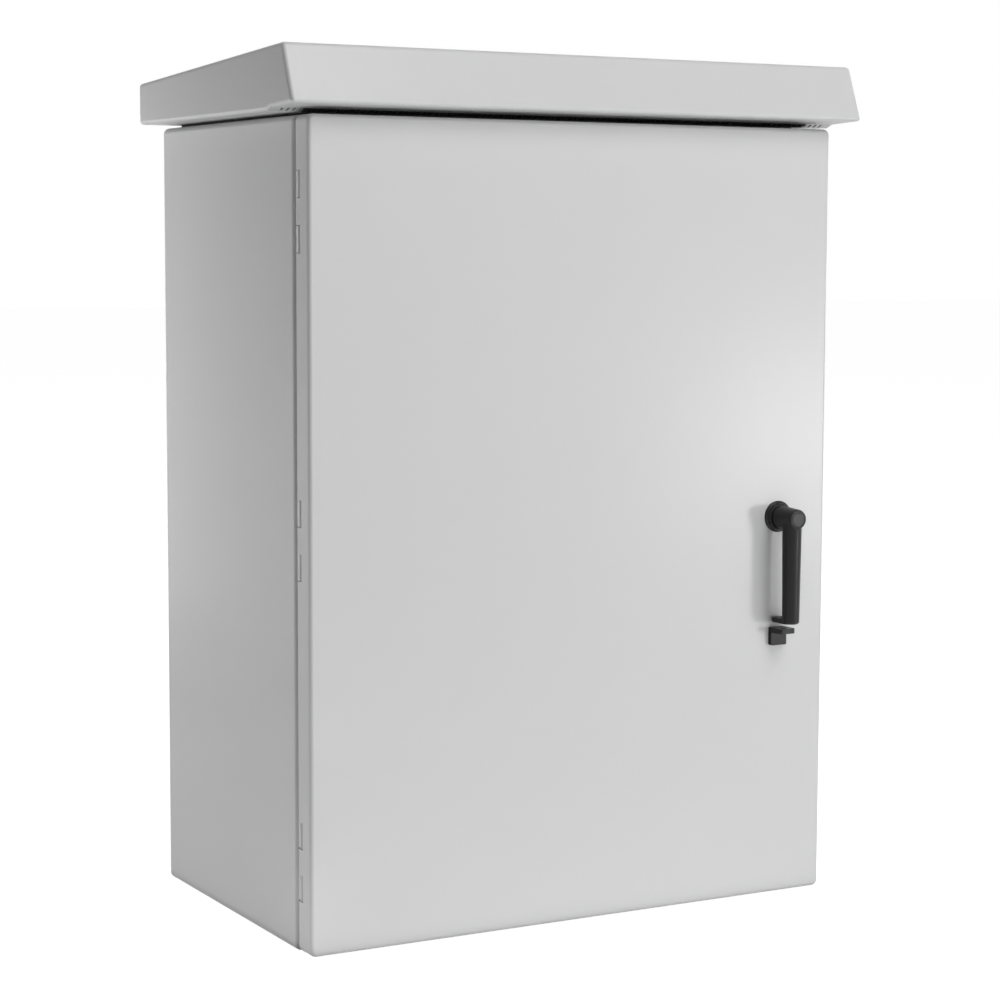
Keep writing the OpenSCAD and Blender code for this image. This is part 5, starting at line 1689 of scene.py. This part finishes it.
@dataclass
class Studio:
    """The pale floor, the white surround, the lamps and the camera."""

    ambient: float = 0.06
    dark_side: tuple[float, float, float] = (-0.62, -0.78, 0.0)
    dark_from: float = -0.1
    dark_share: float = 0.1
    floor_glow: float = 0.95
    floor_half: float = 30.0
    floor_tone: float = 0.76
    lamps: tuple[Lamp, ...] = (
        Lamp("key_softbox", (2.79, -3.55, 0.29), 26.0, (0.5, 0.5)),
        Lamp("wide_softbox", (3.6, -8.8, 2.4), 185.0, (9.0, 5.0)),
        Lamp("fill_softbox", (-2.0, 1.6, 0.32), 6.2, (1.2, 0.6)),
        Lamp("side_strip", (-1.0, 2.6, 0.65), 11.5, (0.5, 1.3)),
        Lamp("top_softbox", (0.6, -3.3, 4.4), 130.0, (2.4, 2.4)),
        Lamp("front_bounce", (0.45, -1.16, 0.005), 5.0, (2.2, 1.8), (0.45, -1.16, 5.0)),
        Lamp("side_bounce", (-1.13, 0.2, 0.005), 3.3, (1.5, 2.0), (-1.13, 0.2, 5.0)),
    )
    camera_place: tuple[float, float, float] = (-1.61885, -2.96687, 0.85759)
    camera_yaw: float = 28.948
    camera_pitch: float = -5.725
    camera_roll: float = 0.204
    lens: float = 90.95
    sensor: float = 36.0

    def build(self) -> None:
        """Sets the stage."""
        bpy.context.scene.view_settings.view_transform = "Standard"
        self.build_world()
        self.build_floor()
        for lamp in self.lamps:
            lamp.build()
        self.build_camera()

    @staticmethod
    def seen_rays(tree: bpy.types.NodeTree) -> bpy.types.NodeSocket:
        """Builds a mask of the rays that show the background.

        Args:
            tree: The node tree.

        Returns:
            The mask's socket: one for camera, glossy and transmission rays.
        """
        path = tree.nodes.new("ShaderNodeLightPath")
        mask = path.outputs["Is Camera Ray"]
        for ray in ("Is Glossy Ray", "Is Transmission Ray"):
            larger = tree.nodes.new("ShaderNodeMath")
            larger.operation = "MAXIMUM"
            tree.links.new(mask, larger.inputs[0])
            tree.links.new(path.outputs[ray], larger.inputs[1])
            mask = larger.outputs[0]
        return mask

    def build_world(self) -> None:
        """Makes a white surround that lights the object at a plain level."""
        world = bpy.data.worlds.new("white_surround")
        bpy.context.scene.world = world
        world.use_nodes = True
        tree = world.node_tree
        back = tree.nodes["Background"]
        back.inputs["Color"].default_value = (1.0, 1.0, 1.0, 1.0)
        towards = tree.nodes.new("ShaderNodeVectorMath")
        towards.operation = "DOT_PRODUCT"
        towards.inputs[1].default_value = self.dark_side
        around = tree.nodes.new("ShaderNodeTexCoord")
        tree.links.new(around.outputs["Generated"], towards.inputs[0])
        falling = tree.nodes.new("ShaderNodeMapRange")
        falling.inputs["From Min"].default_value = self.dark_from
        falling.inputs["To Min"].default_value = self.ambient
        falling.inputs["To Max"].default_value = self.ambient * self.dark_share
        tree.links.new(towards.outputs["Value"], falling.inputs["Value"])
        level = tree.nodes.new("ShaderNodeMapRange")
        level.inputs["To Max"].default_value = 1.0
        tree.links.new(falling.outputs["Result"], level.inputs["To Min"])
        tree.links.new(self.seen_rays(tree), level.inputs["Value"])
        tree.links.new(level.outputs["Result"], back.inputs["Strength"])

    def build_floor(self) -> None:
        """Lays a pale floor that runs to the horizon and keeps the object's shadow."""
        clear_selection()
        bpy.ops.mesh.primitive_plane_add(size=2 * self.floor_half)
        floor = bpy.context.object
        floor.name = "studio_floor"
        material = bpy.data.materials.new("pale_floor")
        material.use_nodes = True
        tree = material.node_tree
        tree.nodes.remove(tree.nodes["Principled BSDF"])
        matte = tree.nodes.new("ShaderNodeBsdfDiffuse")
        matte.inputs["Color"].default_value = (*[self.floor_tone] * 3, 1.0)
        glow = tree.nodes.new("ShaderNodeEmission")
        strength = tree.nodes.new("ShaderNodeMapRange")
        strength.inputs["To Max"].default_value = self.floor_glow
        tree.links.new(self.seen_rays(tree), strength.inputs["Value"])
        tree.links.new(strength.outputs["Result"], glow.inputs["Strength"])
        both = tree.nodes.new("ShaderNodeAddShader")
        tree.links.new(matte.outputs[0], both.inputs[0])
        tree.links.new(glow.outputs[0], both.inputs[1])
        tree.links.new(both.outputs[0], tree.nodes["Material Output"].inputs["Surface"])
        floor.data.materials.append(material)

    def build_camera(self) -> None:
        """Places the camera where the photograph was taken from."""
        yaw, pitch, roll = (radians(angle) for angle in
                            (self.camera_yaw, self.camera_pitch, self.camera_roll))
        ahead = Vector((sin(yaw) * cos(pitch), cos(yaw) * cos(pitch), sin(pitch)))
        level = Vector((cos(yaw), -sin(yaw), 0.0))
        upright = level.cross(ahead)
        right = level * cos(roll) + upright * sin(roll)
        up = upright * cos(roll) - level * sin(roll)
        data = bpy.data.cameras.new("photo_camera")
        data.lens = self.lens
        data.sensor_width = self.sensor
        camera = bpy.data.objects.new("photo_camera", data)
        bpy.context.scene.collection.objects.link(camera)
        turn = Matrix((right, up, -ahead)).transposed()
        camera.matrix_world = Matrix.Translation(self.camera_place) @ turn.to_4x4()
        bpy.context.scene.camera = camera


def finish_remaining(replaced: set[str]) -> None:
    """Gives every solid that stays in view its slot's finish.

    Args:
        replaced: The solids that finished pieces stand for.
    """
    for entry in frame["record"]["subparts"]:
        name = entry["node"]
        if name in replaced:
            continue
        solid = frame["nodes"][name]
        material = SLOT_FINISH[Slot(entry["material_slot"])].material()
        if solid.material_slots:
            for each in solid.material_slots:
                each.material = material
        else:
            solid.data.materials.append(material)
        LOG.info("%s: solid kept, %s", name, material.name)


def main() -> None:
    """Builds the pieces in order, then sets the stage."""
    logging.basicConfig(level=logging.INFO, format="%(name)s: %(message)s")
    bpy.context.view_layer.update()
    for assembly in (CabinetBody(), RainHood(), DoorPanel(), LatchHandle(), HaspBracket(), Hinges(),
                     SeamShadeStrip(), DoorInside(), ShelfEquipment(), BackPanelGear(), PowerAndCooling(),
                     PanelScrews()):
        assembly.build()
        LOG.info("%s done", type(assembly).__name__)
    finish_remaining(REPLACED)
    Studio().build()
    clear_selection()


if __name__ == "__main__":
    main()
